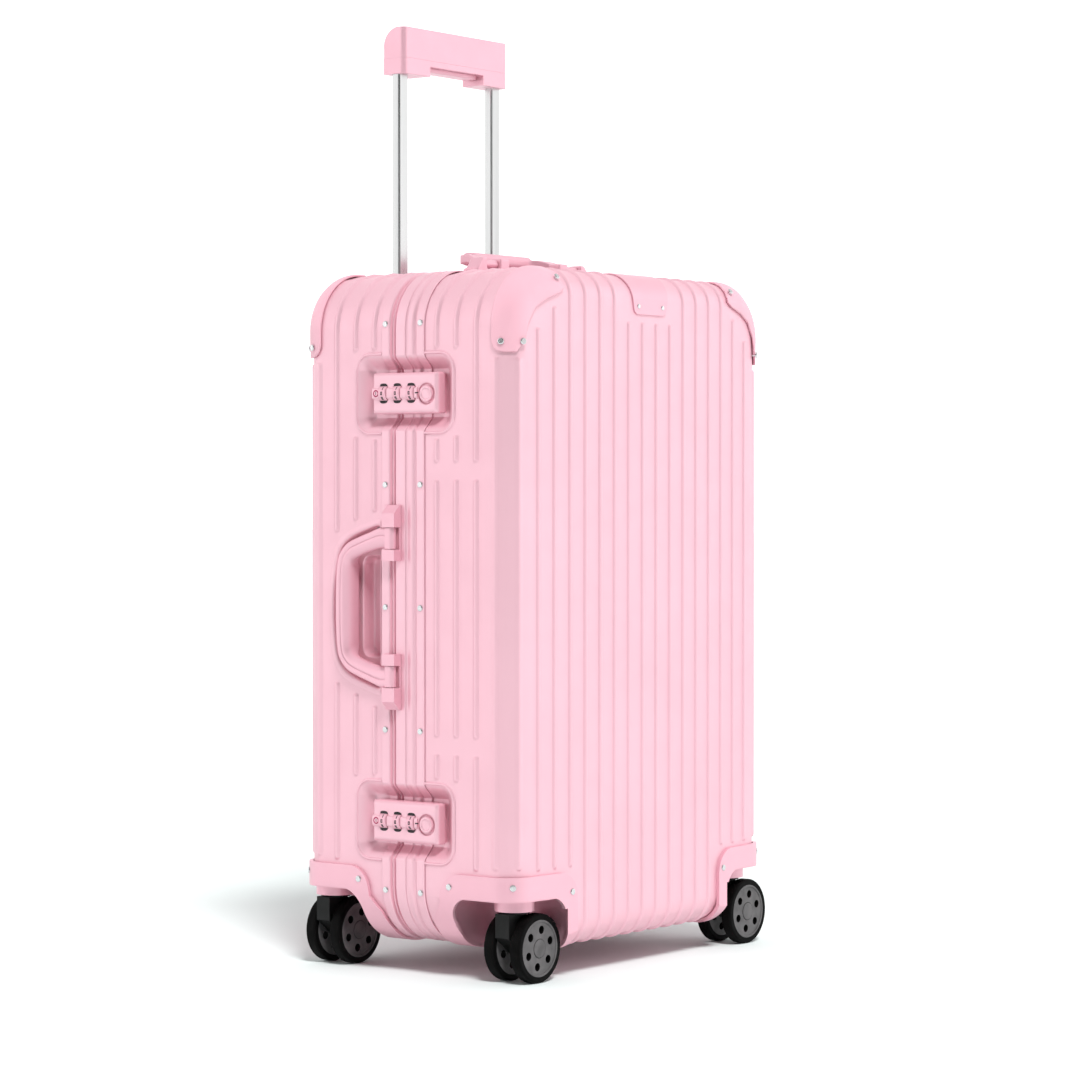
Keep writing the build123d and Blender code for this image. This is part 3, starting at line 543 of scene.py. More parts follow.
# Between the edge's arc and this depth the band's grid lines follow the crown.
BAND_START = 89.6
BAND_SHARES = (0.9, 0.78, 0.68, 0.5855, 0.5, 0.42, 0.2, 0.0)
EDGE_ANGLES = (
    0.17, 0.33, 0.42, 0.46, 0.515, 0.57, 0.61, 0.72, 0.88, 1.04, 1.18, 1.27, 1.31, 1.396, 1.48, pi / 2,
)
# The openings that the grid leaves: wheel wells, locks, side handle and top pocket
WELL_X = 122.6
WELL_Y = 51.4
WELL_Z = 80.6
LOCK_RECT = (LOCK_HALF_Y + 3.5, LOCK_HALF_Z + 3.5)
# The side handle's recess is cut in three steps that keep clear of the ridges' tips.
HANDLE_RECT = ((BACK_FLANGE_END, 58.4, 86.4), (58.4, 82.4, 82.4), (82.4, 98.4, 70.4))
POCKET_Y = (31.0, 78.0)
POCKET_HALF_X = 66.0
POCKET_EDGE = 0.8              # flat strip between the pocket's rim and the grid
OPEN_HALF_X = POCKET_HALF_X + POCKET_EDGE
OPEN_Y = (POCKET_Y[0] - POCKET_EDGE, POCKET_Y[1] + POCKET_EDGE)
NEAR = 4.0                     # a face this close to the case's side or top counts as part of it


def in_side_recess(y, z, back):
    """Whether a place on the narrow side at -X is left open for a recess."""
    for lock_z in LOCK_Z:
        if abs(y - LOCK_Y_MID) < LOCK_RECT[0] and abs(z - lock_z) < LOCK_RECT[1]:
            return True
    if back:
        for low, high, half in HANDLE_RECT:
            if low <= y < high and abs(z - MIDDLE) < half:
                return True
    return False


def in_top_pocket(x, y, back):
    return back and abs(x) < OPEN_HALF_X and OPEN_Y[0] < y < OPEN_Y[1]


def in_well(x, z):
    return abs(x) > WELL_X and z + MIDDLE < WELL_Z


def grid_places(back):
    """The columns and rows of the wide face's grid, dense where ridges and tips are."""
    columns = [-FACE_X, -STRAIGHT_X, -WELL_X, WELL_X, STRAIGHT_X, FACE_X]
    for x in RIDGE_X[1:-1]:
        columns += ridge_samples(x)
    if back:
        columns += [-OPEN_HALF_X, OPEN_HALF_X]
    rows = [-FACE_Z, -STRAIGHT_Z, STRAIGHT_Z, FACE_Z, WELL_Z - MIDDLE]
    rows += [s * (STRAIGHT_Z + d) for s in (-1, 1) for d in (6, 12, 18, 24)]
    for lock_z in LOCK_Z:
        rows += [lock_z - MIDDLE + s * LOCK_RECT[1] for s in (-1, 1)]
    if back:
        rows += [s * half for s in (-1, 1) for _, _, half in HANDLE_RECT]
    spans = [wide_span(k, back) for k in range(1, 17)] + EDGE_RIDGE_SPAN
    for left, right in NARROW["back" if back else "front"].values():
        spans += left + right
    for z in {z for span in spans for z in span}:
        if abs(z) < FAR / 2:
            rows += tip_samples(z - MIDDLE)
    rows = [r for r in rows if abs(r) <= FACE_Z]
    return spread(columns, 12.0), spread(rows, 22.0)


def band_depths(back):
    """Depths of the band's grid lines, from the wide face's side to the frame."""
    depths = [WELL_Y, 19.0]
    for depth in NARROW["back" if back else "front"]:
        depths += ridge_samples(depth)
    depths += [LOCK_Y_MID + LOCK_RECT[0]] if back else [LOCK_RECT[0] - LOCK_Y_MID]
    if back:
        depths += [low for low, _, _ in HANDLE_RECT] + list(OPEN_Y)
    depths = spread({round(d, 2) for d in depths}, 7.0)[::-1]
    if not back:
        depths[-1] = -(SPLIT - 14.0)
    return [d for d in depths if d < BAND_START]


# On the top and the bottom the narrow ridges start this far from the middle or end there.
POCKET_CLEAR = POCKET_HALF_X + 14
PLATE_CLEAR = 42
BOTTOM_RUN = 104


def narrow_height(x, y, z, back, at):
    """Ridge height on the band round the case. at tells which stretch of the outline it is."""
    total = 0.0
    for depth, (left, right) in NARROW["back" if back else "front"].items():
        across = abs(y - depth)
        if across >= RIDGE_HALF:
            continue
        beyond = 0.0
        if at == "side":
            beyond = past(z, left if x < 0 else right)
        elif at == "top" and back and depth < 70:
            beyond = max(0.0, POCKET_CLEAR - abs(x))
        elif at == "top" and not back and depth > 70:
            beyond = max(0.0, PLATE_CLEAR - abs(x))
        elif at == "bottom":
            beyond = max(0.0, abs(x) - BOTTOM_RUN)
        elif at == "corner" and z <= MIDDLE:
            beyond = FAR
        total = max(total, ridge(across, beyond))
    return total


def wide_height(x, z, back, beyond=0.0):
    k = min(16, max(1, round(x / RIDGE_PITCH + 8.5)))
    low, high = wide_span(k, back)
    along = max(beyond, low + RIDGE_HALF - z, z - high + RIDGE_HALF, 0.0)
    return ridge(x - RIDGE_X[k], along)


def rib(u, v, back, depths):
    """Points from the wide face's border round the edge and along the band to the frame."""
    x0, z0 = face_point(u, v)
    ox, oz = outward(u, v)
    at = stretch_of(u, v)
    face_y = HALF_DEPTH - crown_drop(x0)
    slope = -3 * CROWN * min(1.0, abs(x0) / FACE_X) ** 2 / FACE_X * abs(ox)
    spots = [(x0, face_y, z0)]
    for angle in EDGE_ANGLES:
        reach = EDGE * sin(angle)
        y = face_y - EDGE * (1 - cos(angle)) + slope * reach * cos(angle) ** 2
        high = 0.0
        if at in ("top", "bottom"):
            high = wide_height(x0, z0 + MIDDLE, back)
        if at == "side":
            beyond = past(z0 + MIDDLE, EDGE_RIDGE_SPAN)
            high = max(ridge(EDGE * (angle - place), beyond) for place in EDGE_RIDGES)
        out = reach + high * sin(angle)
        spots.append((x0 + ox * out, y + high * cos(angle), z0 + oz * out))
    start = face_y - EDGE
    x = x0 + ox * EDGE
    z = z0 + oz * EDGE
    for y in [BAND_START + (start - BAND_START) * share for share in BAND_SHARES] + depths:
        high = narrow_height(x, y, z + MIDDLE, back, at)
        if at in ("top", "bottom"):
            beyond = max(0.0, ARC + start - y - WRAP_END)
            high = max(high, wide_height(x0, z0 + MIDDLE, back, beyond))
        spots.append((x + ox * high, y, z + oz * high))
    return spots


def shell_mesh(back):
    """One ribbed shell: the wide face, its rounded edges and the band round the case."""
    sign = 1 if back else -1
    columns, rows = grid_places(back)
    nx, nz = len(columns), len(rows)
    verts, faces = [], []

    def put(x, y, z):
        verts.append((x, sign * y, z + MIDDLE))
        return len(verts) - 1

    def add_face(quad):
        faces.append(quad[::-1] if back else quad)

    face_ids = {}
    for i, u in enumerate(columns):
        for j, v in enumerate(rows):
            x, z = face_point(u, v)
            high = wide_height(x, z + MIDDLE, back)
            face_ids[i, j] = put(x, HALF_DEPTH - crown_drop(x) + high, z)
    for i in range(nx - 1):
        for j in range(nz - 1):
            if not in_well((columns[i] + columns[i + 1]) / 2, (rows[j] + rows[j + 1]) / 2):
                add_face([face_ids[i, j], face_ids[i + 1, j], face_ids[i + 1, j + 1], face_ids[i, j + 1]])

    border = [(i, 0) for i in range(nx)] + [(nx - 1, j) for j in range(1, nz)]
    border += [(i, nz - 1) for i in range(nx - 2, -1, -1)] + [(0, j) for j in range(nz - 2, 0, -1)]
    depths = band_depths(back)
    ribs = []
    for i, j in border:
        spots = rib(columns[i], rows[j], back, depths)
        ribs.append((spots, [face_ids[i, j]] + [put(*spot) for spot in spots[1:]]))
    for (spots, ids), (next_spots, next_ids) in zip(ribs, ribs[1:] + ribs[:1]):
        for t in range(len(ids) - 1):
            corners = [spots[t], next_spots[t], next_spots[t + 1], spots[t + 1]]
            x, y, z = (sum(c[a] for c in corners) / 4 for a in range(3))
            on_left = x < NEAR - HALF_WIDTH
            on_top = z + MIDDLE > TOP - NEAR
            if in_well(x, z) and y > WELL_Y:
                continue
            if on_left and in_side_recess(sign * y, z + MIDDLE, back):
                continue
            if on_top and in_top_pocket(x, y, back):
                continue
            add_face([ids[t], ids[t + 1], next_ids[t + 1], next_ids[t]])
    return verts, faces


# ---------------------------------------------------------------- recesses

# A recess is a stack of loops: how far each lies inside the border, and how deep.
WALL_WIDE = 14.0
LIP_STEPS = (
    (-3.46, 0.0), (-3.2, 0.0), (-3.05, -0.1), (-2.7, -0.7), (-2.2, -1.4), (-1.5, -1.75), (-0.8, -1.5),
    (-0.3, -0.75),
)
LOCK_OFFSETS = (0.0, 0.5, 1.2, 2.2, 3.5, 5.0, 6.5, 8.0, 9.5, 11.0, 12.4, 13.4, 14.0)
POCKET_CORNER = 17.0
POCKET_STEPS = (
    (0, 0), (0.4, 0.2), (1.0, 0.9), (1.8, 2.4), (3.2, 6.0), (4.6, 9.6), (6.0, 11.8), (7.8, 12.8), (9.5, 13.0),
)
# Upper halves of the handle recess's rim and floor: (depth y, height over the middle)
HANDLE_OUTER = [
    (29.4, 60), (29.4, 80), (33, 84.3), (49.4, 80.2), (70.7, 72.7), (85.0, 61.5), (92.3, 43.9),
    (95.6, 15),
]
HANDLE_INNER = [
    (31.0, 55), (31.0, 68), (34, 73.5), (47.5, 69.6), (66.5, 62.8), (77.5, 54.0), (82.8, 40.0),
    (86.2, 13),
]
# From the rim to the floor: (share of the way, depth)
HANDLE_STEPS = (
    (0.0, 0.0), (0.08, -0.25), (0.2, -0.75), (0.34, -1.0), (0.48, -0.85), (0.6, -0.2), (0.68, 0.9),
    (0.75, 2.8), (0.82, 5.6), (0.89, 8.8), (0.95, 11.1), (1.0, 12.0),
)
# The hollow for the hand
HOLLOW_HALF_Y = 14.8
HOLLOW_HALF_Z = 49.0
HOLLOW_CORNER = 9.0
HOLLOW_Y_MID = 48.2
HOLLOW_STEPS = (
    (-0.8, 12.0), (-0.3, 12.2), (0.4, 13.0), (1.2, 15.0), (2.2, 21.0), (3.2, 23.8), (4.8, 25.0),
)


def smooth(t):
    t = min(1.0, max(0.0, t))
    return t * t * (3 - 2 * t)


def lock_depth(offset):
    """Depth of a lock's recess at a distance in from its border: a crease, then a soft slope."""
    s = min(1.0, max(0.0, offset / WALL_WIDE))
    return RECESS_DEPTH * (0.3 * s + 0.7 * smooth(s))


def rounded_outline(half_y, half_z, radius, y_mid, z_mid, steps=10):
    points = []
    for turn, (sy, sz) in enumerate(((1, 1), (-1, 1), (-1, -1), (1, -1))):
        for i in range(steps + 1):
            angle = (turn + i / steps) * pi / 2
            y = y_mid + sy * (half_y - radius) + radius * cos(angle)
            points.append((y, z_mid + sz * (half_z - radius) + radius * sin(angle)))
    return points


def smooth_loop(points, steps=6):
    """A closed curve through points, sampled evenly between them."""
    loop = []
    n = len(points)
    for i in range(n):
        knots = [Vector(points[(i + d) % n]) for d in (-1, 0, 1, 2)]
        loop += [curve_point(*knots, s / steps).to_tuple() for s in range(steps)]
    return loop


def side_vert(bm, y, z, depth):
    return bm.verts.new((-(HALF_WIDTH - depth) * MM, y * MM, z * MM))


def top_vert(bm, y, x, depth):
    return bm.verts.new((x * MM, y * MM, (TOP - depth) * MM))


def edge_loop(bm, verts):
    return [bm.edges.new((verts[i], verts[(i + 1) % len(verts)])) for i in range(len(verts))]


def stack_loops(bm, loops, put=side_vert):
    """Quads between loops that have the same number of points. Gives the end loops' edges."""
    rings = [[put(bm, a, b, depth) for a, b in points] for points, depth in loops]
    ends = edge_loop(bm, rings[0]), edge_loop(bm, rings[-1])
    for low, high in zip(rings, rings[1:]):
        for i in range(len(low)):
            j = (i + 1) % len(low)
            bm.faces.new((low[i], low[j], high[j], high[i]))
    return ends


def flat_between(bm, outer_edges, inner_edges=()):
    edges = list(outer_edges) + list(inner_edges)
    bmesh.ops.triangle_fill(bm, use_beauty=True, use_dissolve=False, edges=edges)


def nested(half_y, half_z, corner, y_mid, z_mid, offsets, steps=10):
    """Loops one inside another: rounded outlines at offsets from the border, with their depths."""
    loops = []
    for offset, depth in offsets:
        radius = max(2.0, corner - offset)
        outline = rounded_outline(half_y - offset, half_z - offset, radius, y_mid, z_mid, steps)
        loops.append((outline, depth))
    return loops


def lock_recess(z_mid):
    """A lock's recess: a low lip all round, then the soft slope down to the flat floor."""
    bm = bmesh.new()
    offsets = LIP_STEPS + tuple((offset, lock_depth(offset)) for offset in LOCK_OFFSETS)
    loops = nested(LOCK_HALF_Y, LOCK_HALF_Z, LOCK_CORNER, LOCK_Y_MID, z_mid, offsets)
    _, floor = stack_loops(bm, loops)
    flat_between(bm, floor)
    return bm


def both_ways(points):
    """A half outline and its mirror image below, as one closed loop about the middle."""
    lower = [(y, -z) for y, z in points]
    return [(y, MIDDLE + z) for y, z in points + lower[::-1]]


def handle_recess():
    """The side handle's dished recess with the hollow for the hand."""
    bm = bmesh.new()
    outer = smooth_loop(both_ways(HANDLE_OUTER))
    inner = smooth_loop(both_ways(HANDLE_INNER))
    grown = 0.006
    loops = [([(y + (y - 60) * grown, MIDDLE + (z - MIDDLE) * (1 + grown)) for y, z in outer], 0.0)]
    for share, depth in HANDLE_STEPS:
        pairs = zip(outer, inner)
        points = [(a[0] + (b[0] - a[0]) * share, a[1] + (b[1] - a[1]) * share) for a, b in pairs]
        loops.append((points, depth))
    _, last = stack_loops(bm, loops)
    hollow = nested(HOLLOW_HALF_Y, HOLLOW_HALF_Z, HOLLOW_CORNER, HOLLOW_Y_MID, MIDDLE, HOLLOW_STEPS, 6)
    rim, floor = stack_loops(bm, hollow)
    flat_between(bm, last, rim)
    flat_between(bm, floor)
    return bm


def top_pocket():
    """The pocket in the back half's top for fingers round the top handle."""
    bm = bmesh.new()
    y_mid = sum(POCKET_Y) / 2
    half_y = (POCKET_Y[1] - POCKET_Y[0]) / 2
    loops = nested(half_y, POCKET_HALF_X, POCKET_CORNER, y_mid, 0.0, POCKET_STEPS)
    rim, floor = stack_loops(bm, loops, top_vert)
    bm.faces.new([edge.verts[0] for edge in floor])
    spots = [(OPEN_Y[j], side * OPEN_HALF_X) for side, j in ((-1, 0), (1, 0), (1, 1), (-1, 1))]
    corners = [top_vert(bm, y, x, 0) for y, x in spots]
    flat_between(bm, edge_loop(bm, corners), rim)
    return bm


def face_towards(bm, direction):
    """Turn every face so that it looks the given way."""
    bm.normal_update()
    for face in bm.faces:
        if face.normal.dot(direction) < 0:
            face.normal_flip()


def fill_to_grid(bm, y_limit, y_range, z_range):
    """Flat faces between a recess's border and the opening left for it in the shell's grid."""
    def inside(vert):
        x, y, z = (c / MM for c in vert.co)
        on_face = abs(x + HALF_WIDTH) < 2.6
        return on_face and y_range[0] < y < y_range[1] and z_range[0] < z < z_range[1]

    def on_limit(vert):
        return abs(vert.co.y / MM - y_limit) < 0.02

    edges = []
    for edge in bm.edges:
        if len(edge.link_faces) != 1 or not all(inside(v) for v in edge.verts):
            continue
        if not all(on_limit(v) for v in edge.verts):
            edges.append(edge)
    touched = {}
    for edge in edges:
        for vert in edge.verts:
            touched[vert] = touched.get(vert, 0) + 1
    ends = sorted((v for v, count in touched.items() if count == 1), key=lambda v: v.co.z)
    for low, high in zip(ends[0::2], ends[1::2]):
        edges.append(bm.edges.get((low, high)) or bm.edges.new((low, high)))
    made = bmesh.ops.triangle_fill(bm, use_beauty=True, use_dissolve=False, edges=edges, normal=(-1, 0, 0))
    for item in made["geom"]:
        if isinstance(item, bmesh.types.BMFace):
            item.normal_update()
            if item.normal.x > 0:
                item.normal_flip()


OPENING_SPARE = 1.4            # the grid's line nearest to a lock's opening may lie this far off it
HANDLE_SPARE = 0.3


def add_recesses(bm, back):
    """Join the recesses to a shell, and close the gaps up to its grid."""
    patches = [(lock_recess(z), Vector((-1, 0, 0))) for z in LOCK_Z]
    if back:
        patches += [(handle_recess(), Vector((-1, 0, 0))), (top_pocket(), Vector((0, 0, 1)))]
    limits = (BACK_FLANGE_END, 200) if back else (-200, FRONT_FLANGE_END)
    scratch = bpy.data.meshes.new("patch")
    for patch, direction in patches:
        for y, beyond in zip(limits, (-1, 1)):
            cut_off(patch, (0, y * MM, 0), (0, beyond, 0), close=False)
        face_towards(patch, direction)
        patch.to_mesh(scratch)
        patch.free()
        bm.from_mesh(scratch)
    bpy.data.meshes.remove(scratch)
    bmesh.ops.remove_doubles(bm, verts=bm.verts[:], dist=0.02 * MM)
    y_limit = BACK_FLANGE_END if back else FRONT_FLANGE_END
    half_y, half_z = (side + OPENING_SPARE for side in LOCK_RECT)
    for z in LOCK_Z:
        fill_to_grid(bm, y_limit, (LOCK_Y_MID - half_y, LOCK_Y_MID + half_y), (z - half_z, z + half_z))
    if back:
        reach = HANDLE_RECT[0][2] + HANDLE_SPARE
        depth_range = (y_limit - 0.1, HANDLE_RECT[-1][1] + HANDLE_SPARE)
        fill_to_grid(bm, y_limit, depth_range, (MIDDLE - reach, MIDDLE + reach))
    loose = [v for v in bm.verts if not v.link_faces]
    bmesh.ops.delete(bm, geom=loose, context="VERTS")


def add_shell(back):
    """A ribbed shell with its recesses, and sheet metal's thickness."""
    node = "back_shell" if back else "front_shell"
    obj = make_object(node + "_ribbed", *shell_mesh(back))
    with edited(obj.data) as bm:
        add_recesses(bm, back)
    shade(obj.data)
    thicken(obj, SHEET)
    shade(obj.data)
    weight_normals(obj)
    stand_in(obj, "shell", node)


# ---------------------------------------------------------------- frame profiles

# Sections through the two profiles: (depth y, distance out from the shell's outline)
BACK_SECTION = [
    (-1.3, -5.0), (-1.3, 0.5), (-1.1, 1.0), (-0.6, 1.35), (0.3, 1.45), (3.5, 1.25), (8.5, 1.05),
    (10.3, 1.1), (11.0, 0.9), (11.4, 0.2), (11.8, -1.8), (12.3, -2.3), (13.4, -2.3), (13.8, -1.6),
    (14.1, 0.1), (14.5, 0.4), (14.9, 0.1), (15.2, -1.6), (15.6, -2.3), (17.3, -2.3), (17.9, -1.8),
    (18.4, 0.3), (18.8, 1.0), (19.5, 1.38), (20.3, 1.4), (27.4, 1.4), (28.2, 1.25), (28.6, 0.85),
    (28.7, 0.1), (18.9, 0.05), (18.9, -1.5), (27.0, -1.55), (27.0, -3.2), (18.7, -3.2), (18.7, -5.0),
]
FRONT_SECTION = [
    (-1.45, -5.0), (-14.4, -5.0), (-14.4, -3.2), (-22.5, -3.2), (-22.5, -1.55), (-14.6, -1.5),
    (-14.6, 0.05), (-24.3, 0.1), (-24.2, 0.85), (-23.8, 1.25), (-23.0, 1.4), (-15.6, 1.4), (-14.9, 1.3),
    (-14.4, 0.9), (-14.1, 0.2), (-13.5, -0.5), (-12.6, -0.75), (-11.9, -0.6), (-11.2, -0.1),
    (-10.6, 0.7), (-9.6, 1.3), (-8.0, 1.45), (-6.2, 1.2), (-4.6, 0.75), (-3.4, 0.6), (-2.7, 0.75),
    (-2.1, 1.1), (-1.7, 1.0), (-1.5, 0.6),
]


def frame_stations():
    """Places round the outline, as point, outward normal and how far the profile dips there."""
    places = []
    z_left = {MIDDLE - STRAIGHT_Z, MIDDLE + STRAIGHT_Z}
    for lock_z in LOCK_Z:
        for offset in (-3.0,) + LOCK_OFFSETS:
            z_left |= {lock_z - LOCK_HALF_Z + offset, lock_z + LOCK_HALF_Z - offset}
    for z in spread(z_left, 40.0):
        inside = max(LOCK_HALF_Z - abs(z - lock_z) for lock_z in LOCK_Z)
        places.append((-HALF_WIDTH, z, -1.0, 0.0, lock_depth(inside)))

    def corner(sx, sz, first):
        for i in range(1, 18):
            angle = radians(first - 90 * i / 18)
            nx, nz = cos(angle), sin(angle)
            x = sx * STRAIGHT_X + CORNER * nx
            z = MIDDLE + sz * STRAIGHT_Z + CORNER * nz
            places.append((x, z, nx, nz, 0.0))

    corner(-1, 1, 180)
    places += [(-STRAIGHT_X + 2 * STRAIGHT_X * i / 8, TOP, 0.0, 1.0, 0.0) for i in range(9)]
    corner(1, 1, 90)
    heights = [MIDDLE + STRAIGHT_Z - 2 * STRAIGHT_Z * i / 14 for i in range(15)]
    places += [(HALF_WIDTH, z, 1.0, 0.0, 0.0) for z in heights]
    corner(1, -1, 0)
    places += [(STRAIGHT_X - 2 * STRAIGHT_X * i / 8, BOTTOM, 0.0, -1.0, 0.0) for i in range(9)]
    corner(-1, -1, -90)
    return places


def add_frame(node, section):
    rows = []
    for x, z, nx, nz, dip in frame_stations():
        rows.append([(x + nx * (out - dip), y, z + nz * (out - dip)) for y, out in section])
    obj = make_object(node + "_profile", *skin(rows, closed=True))
    face_out(obj)
    weight_normals(obj)
    stand_in(obj, "frame", node)


add_shell(True)
add_shell(False)
add_frame("back_frame", BACK_SECTION)
add_frame("front_frame", FRONT_SECTION)


# ---------------------------------------------------------------- moulded and machined pieces


def copy_of(node, name):
    """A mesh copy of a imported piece, with its flat faces joined up again."""
    source = frame["nodes"][node]
    mesh = source.data.copy()
    mesh.transform(source.matrix_world)
    mesh.materials.clear()
    with edited(mesh) as bm:
        bmesh.ops.remove_doubles(bm, verts=bm.verts[:], dist=0.004 * MM)
        bmesh.ops.dissolve_limit(bm, angle_limit=radians(0.7), verts=bm.verts[:], edges=bm.edges[:])
    return link_object(name, mesh)


def round_edges(obj, widest, width_at=None, segments=3):
    """Round the sharp edges by a width in mm, or by what width_at gives for an edge's middle."""
    with edited(obj.data) as bm:
        weight = bm.edges.layers.float.new("bevel_weight_edge")
        for edge in bm.edges:
            if len(edge.link_faces) == 2 and edge.calc_face_angle(0) > radians(28.0):
                middle = (edge.verts[0].co + edge.verts[1].co) / 2 / MM
                edge[weight] = min(1.0, width_at(middle) / widest) if width_at else 1.0
    rounded = obj.modifiers.new("edges", "BEVEL")
    rounded.width = widest * MM
    rounded.segments = segments
    rounded.limit_method = "WEIGHT"
    rounded.use_clamp_overlap = True
    apply_modifiers(obj)
    shade(obj.data)
    weight_normals(obj)


def soften(node, slot, widest, width_at=None, segments=3):
    """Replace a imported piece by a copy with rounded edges."""
    obj = copy_of(node, node + "_soft")
    round_edges(obj, widest, width_at, segments)
    stand_in(obj, slot, node)
    return obj


def blend(obj, cell, rounds):
    """Melt a piece's edges into soft curves: even cells of the size given, smoothed."""
    remesh = obj.modifiers.new("even", "REMESH")
    remesh.mode = "VOXEL"
    remesh.voxel_size = cell * MM
    even = obj.modifiers.new("smooth", "SMOOTH")
    even.factor = 0.5
    even.iterations = rounds
    apply_modifiers(obj)
    shade(obj.data)


GRIP_SEAM = 899.0              # height of the seam between the grip's cover and base
TOP_RISE = 7.0                 # rise of the top handle's arms, and where along Y they rise
TOP_RISE_FROM = 14.0
TOP_RISE_RUN = 26.0
PLATE_CORNER = Vector((26.0, 636.0))
PLATE_SIDE_ANGLE = 11.0        # lean of the plate's side edges from the upright
PLATE_RADIUS = 7.0


def grip_width(middle):
    """Narrow edges along the grip's seam, and full round ones elsewhere."""
    return 0.35 if abs(middle.z - GRIP_SEAM) < 0.6 else 2.8


def add_top_handle():
    """The top handle's soft lugs, and its arms that rise from the pivot to the grip."""
    lugs = copy_of("top_brackets", "top_brackets_soft")
    blend(lugs, 0.8, 22)
    grip = copy_of("top_handle", "top_handle_soft")
    blend(grip, 0.8, 8)
    for vert in grip.data.vertices:
        vert.co.z += TOP_RISE * MM * smooth((vert.co.y / MM - TOP_RISE_FROM) / TOP_RISE_RUN)
    stand_in(lugs, "trim", "top_brackets")
    stand_in(grip, "trim", "top_handle")


def add_edge_plate():
    """The riveted plate on the lid's top edge, with its two lower corners rounded."""
    obj = copy_of("edge_plate", "edge_plate_soft")
    lean = radians(PLATE_SIDE_ANGLE)
    inset = PLATE_RADIUS * (1 - sin(lean)) / cos(lean)
    with edited(obj.data) as bm:
        for side in (-1, 1):
            centre = Vector((side * (PLATE_CORNER.x - inset), 0, PLATE_CORNER.y + PLATE_RADIUS))
            for i in range(1, 8):
                angle = radians(-90) + (radians(90) - lean) * i / 8
                normal = Vector((side * cos(angle), 0, sin(angle)))
                cut_off(bm, (centre + normal * PLATE_RADIUS) * MM, normal)
    round_edges(obj, 0.5)
    stand_in(obj, "trim", "edge_plate")


add_top_handle()
add_edge_plate()
soften("grip_cover", "grip", 2.8, grip_width, 4)
soften("grip_base", "grip", 2.8, grip_width, 4)
soften("release_bar", "grip", 0.6)
soften("side_brackets", "trim", 1.5)
soften("pole_collars", "trim", 0.6)
for level in ("lower", "upper"):
    soften("lock_knob_" + level, "lock", 0.5)
    for dial in "123":
        soften(f"dial_{level}_{dial}", "dial", 0.35)
for end, side in CORNERS:
    soften(f"fork_{end}_{side}", "fork", 0.9)
    soften(f"{end}_housing_{side}", "trim", 1.3)


HUB_HOLE_RING = (13.4, 21.8)
HUB_BOSS = 8.9                 # radius of the thin dark ring that paints the shade of the groove round the hub's middle
HUB_FACE = 0.75                # how far the hub's face lies inside its rim


def ring_mesh(radius, tube, rise, around=28, tube_steps=8):
    """A ring about the origin, as points (along its axis, across, up) and faces."""
    rows = []
    for i in range(around):
        a = 2 * pi * i / around
        row = []
        for j in range(tube_steps):
            b = 2 * pi * j / tube_steps
            r = radius + tube * cos(b)
            row.append((rise * sin(b), r * cos(a), r * sin(a)))
        rows.append(row)
    return skin(rows, closed=True)


def add_hub(node):
    """Hub discs whose hole walls take the tyre's black as painted shade, and a thin dark ring round the
    middle of each outer face as painted shade of a groove.
    """
    obj = soften(node, "hub", 0.3, segments=2)
    apply_modifiers(obj)
    mesh = obj.data
    mesh.materials.append(LOOKS["tyre"])
    lows, highs = zip(*((min(values), max(values)) for values in zip(*(v.co for v in mesh.vertices))))
    x_mid, _, z_mid = ((low + high) / 2 for low, high in zip(lows, highs))
    # Painted shade: the walls of the holes through the hub take the tyre's black.
    for polygon in mesh.polygons:
        across = polygon.center - Vector((x_mid, polygon.center.y, z_mid))
        in_ring = HUB_HOLE_RING[0] < across.length / MM < HUB_HOLE_RING[1]
        if in_ring and abs(polygon.normal.y) < 0.3:
            polygon.material_index = 1
    # A thin dark ring on each outer face: painted shade of the groove round the hub's middle.
    points, faces = ring_mesh(HUB_BOSS, 0.4, 0.15, 40)
    for side, y in (("near", lows[1] / MM + HUB_FACE), ("far", highs[1] / MM - HUB_FACE)):
        verts = [(x_mid / MM + across, y + along, z_mid / MM + up) for along, across, up in points]
        fit(make_object(f"{node}_groove_shade_{side}", verts, faces), "seal", BODY_OF[node])


for end, side in CORNERS:
    add_hub(f"hubs_{end}_{side}")
    soften(f"tyres_{end}_{side}", "tyre", 0.4, segments=2)


# ---------------------------------------------------------------- lock details

LOCK_FRONT = -213.2
BAR_RISE = 2.0                 # height of the raised bar over the lever's front
BAR_ROOT = 0.4                 # how far the bar reaches into the lever
BAR_HALF = 5.6
BAR_RUNS = ((28.4, 36.4), (11.4, 18.6), (-5.6, 1.6), (-19.0, -15.4))
BAR_FRONT = LOCK_FRONT - BAR_RISE
DIAL_X = -208.9
DIAL_RADIUS = 8.0
DIAL_Y = (23.5, 6.5, -10.5)
KEY_Y = 31.6
KEY_RADIUS = 2.8
MARK_Y = -18.3                 # the mark on the bar beside the knob
FLAT = 50.0                    # a drum so wide that a small block on it is flat
# The knob's seat in the lever: place along Y, drop from the lock's middle, radius and floor
SEAT_Y = -29.0
SEAT_DROP = 1.0
SEAT_RADIUS = 10.0
SEAT_FLOOR = LOCK_FRONT + 2.2
SEAT_WALL = 1.4                # closer to the seat's border than this, the lever is pushed outwards
# The seven strokes of a generic number: start and end as (across, up), in half units
STROKES = {
    "a": ((-1, 2), (1, 2)), "b": ((1, 2), (1, 0)), "c": ((1, 0), (1, -2)), "d": ((-1, -2), (1, -2)),
    "e": ((-1, -2), (-1, 0)), "f": ((-1, 0), (-1, 2)), "g": ((-1, 0), (1, 0)),
}
NUMBERS = ("abcdef", "bc", "abged", "abgcd", "fgbc", "afgcd", "afgedc", "abc", "abcdefg", "abfgcd")
HALF_ACROSS = 0.72
HALF_UP = 0.64
STROKE_THICK = 0.42
STROKE_RISE = 0.06
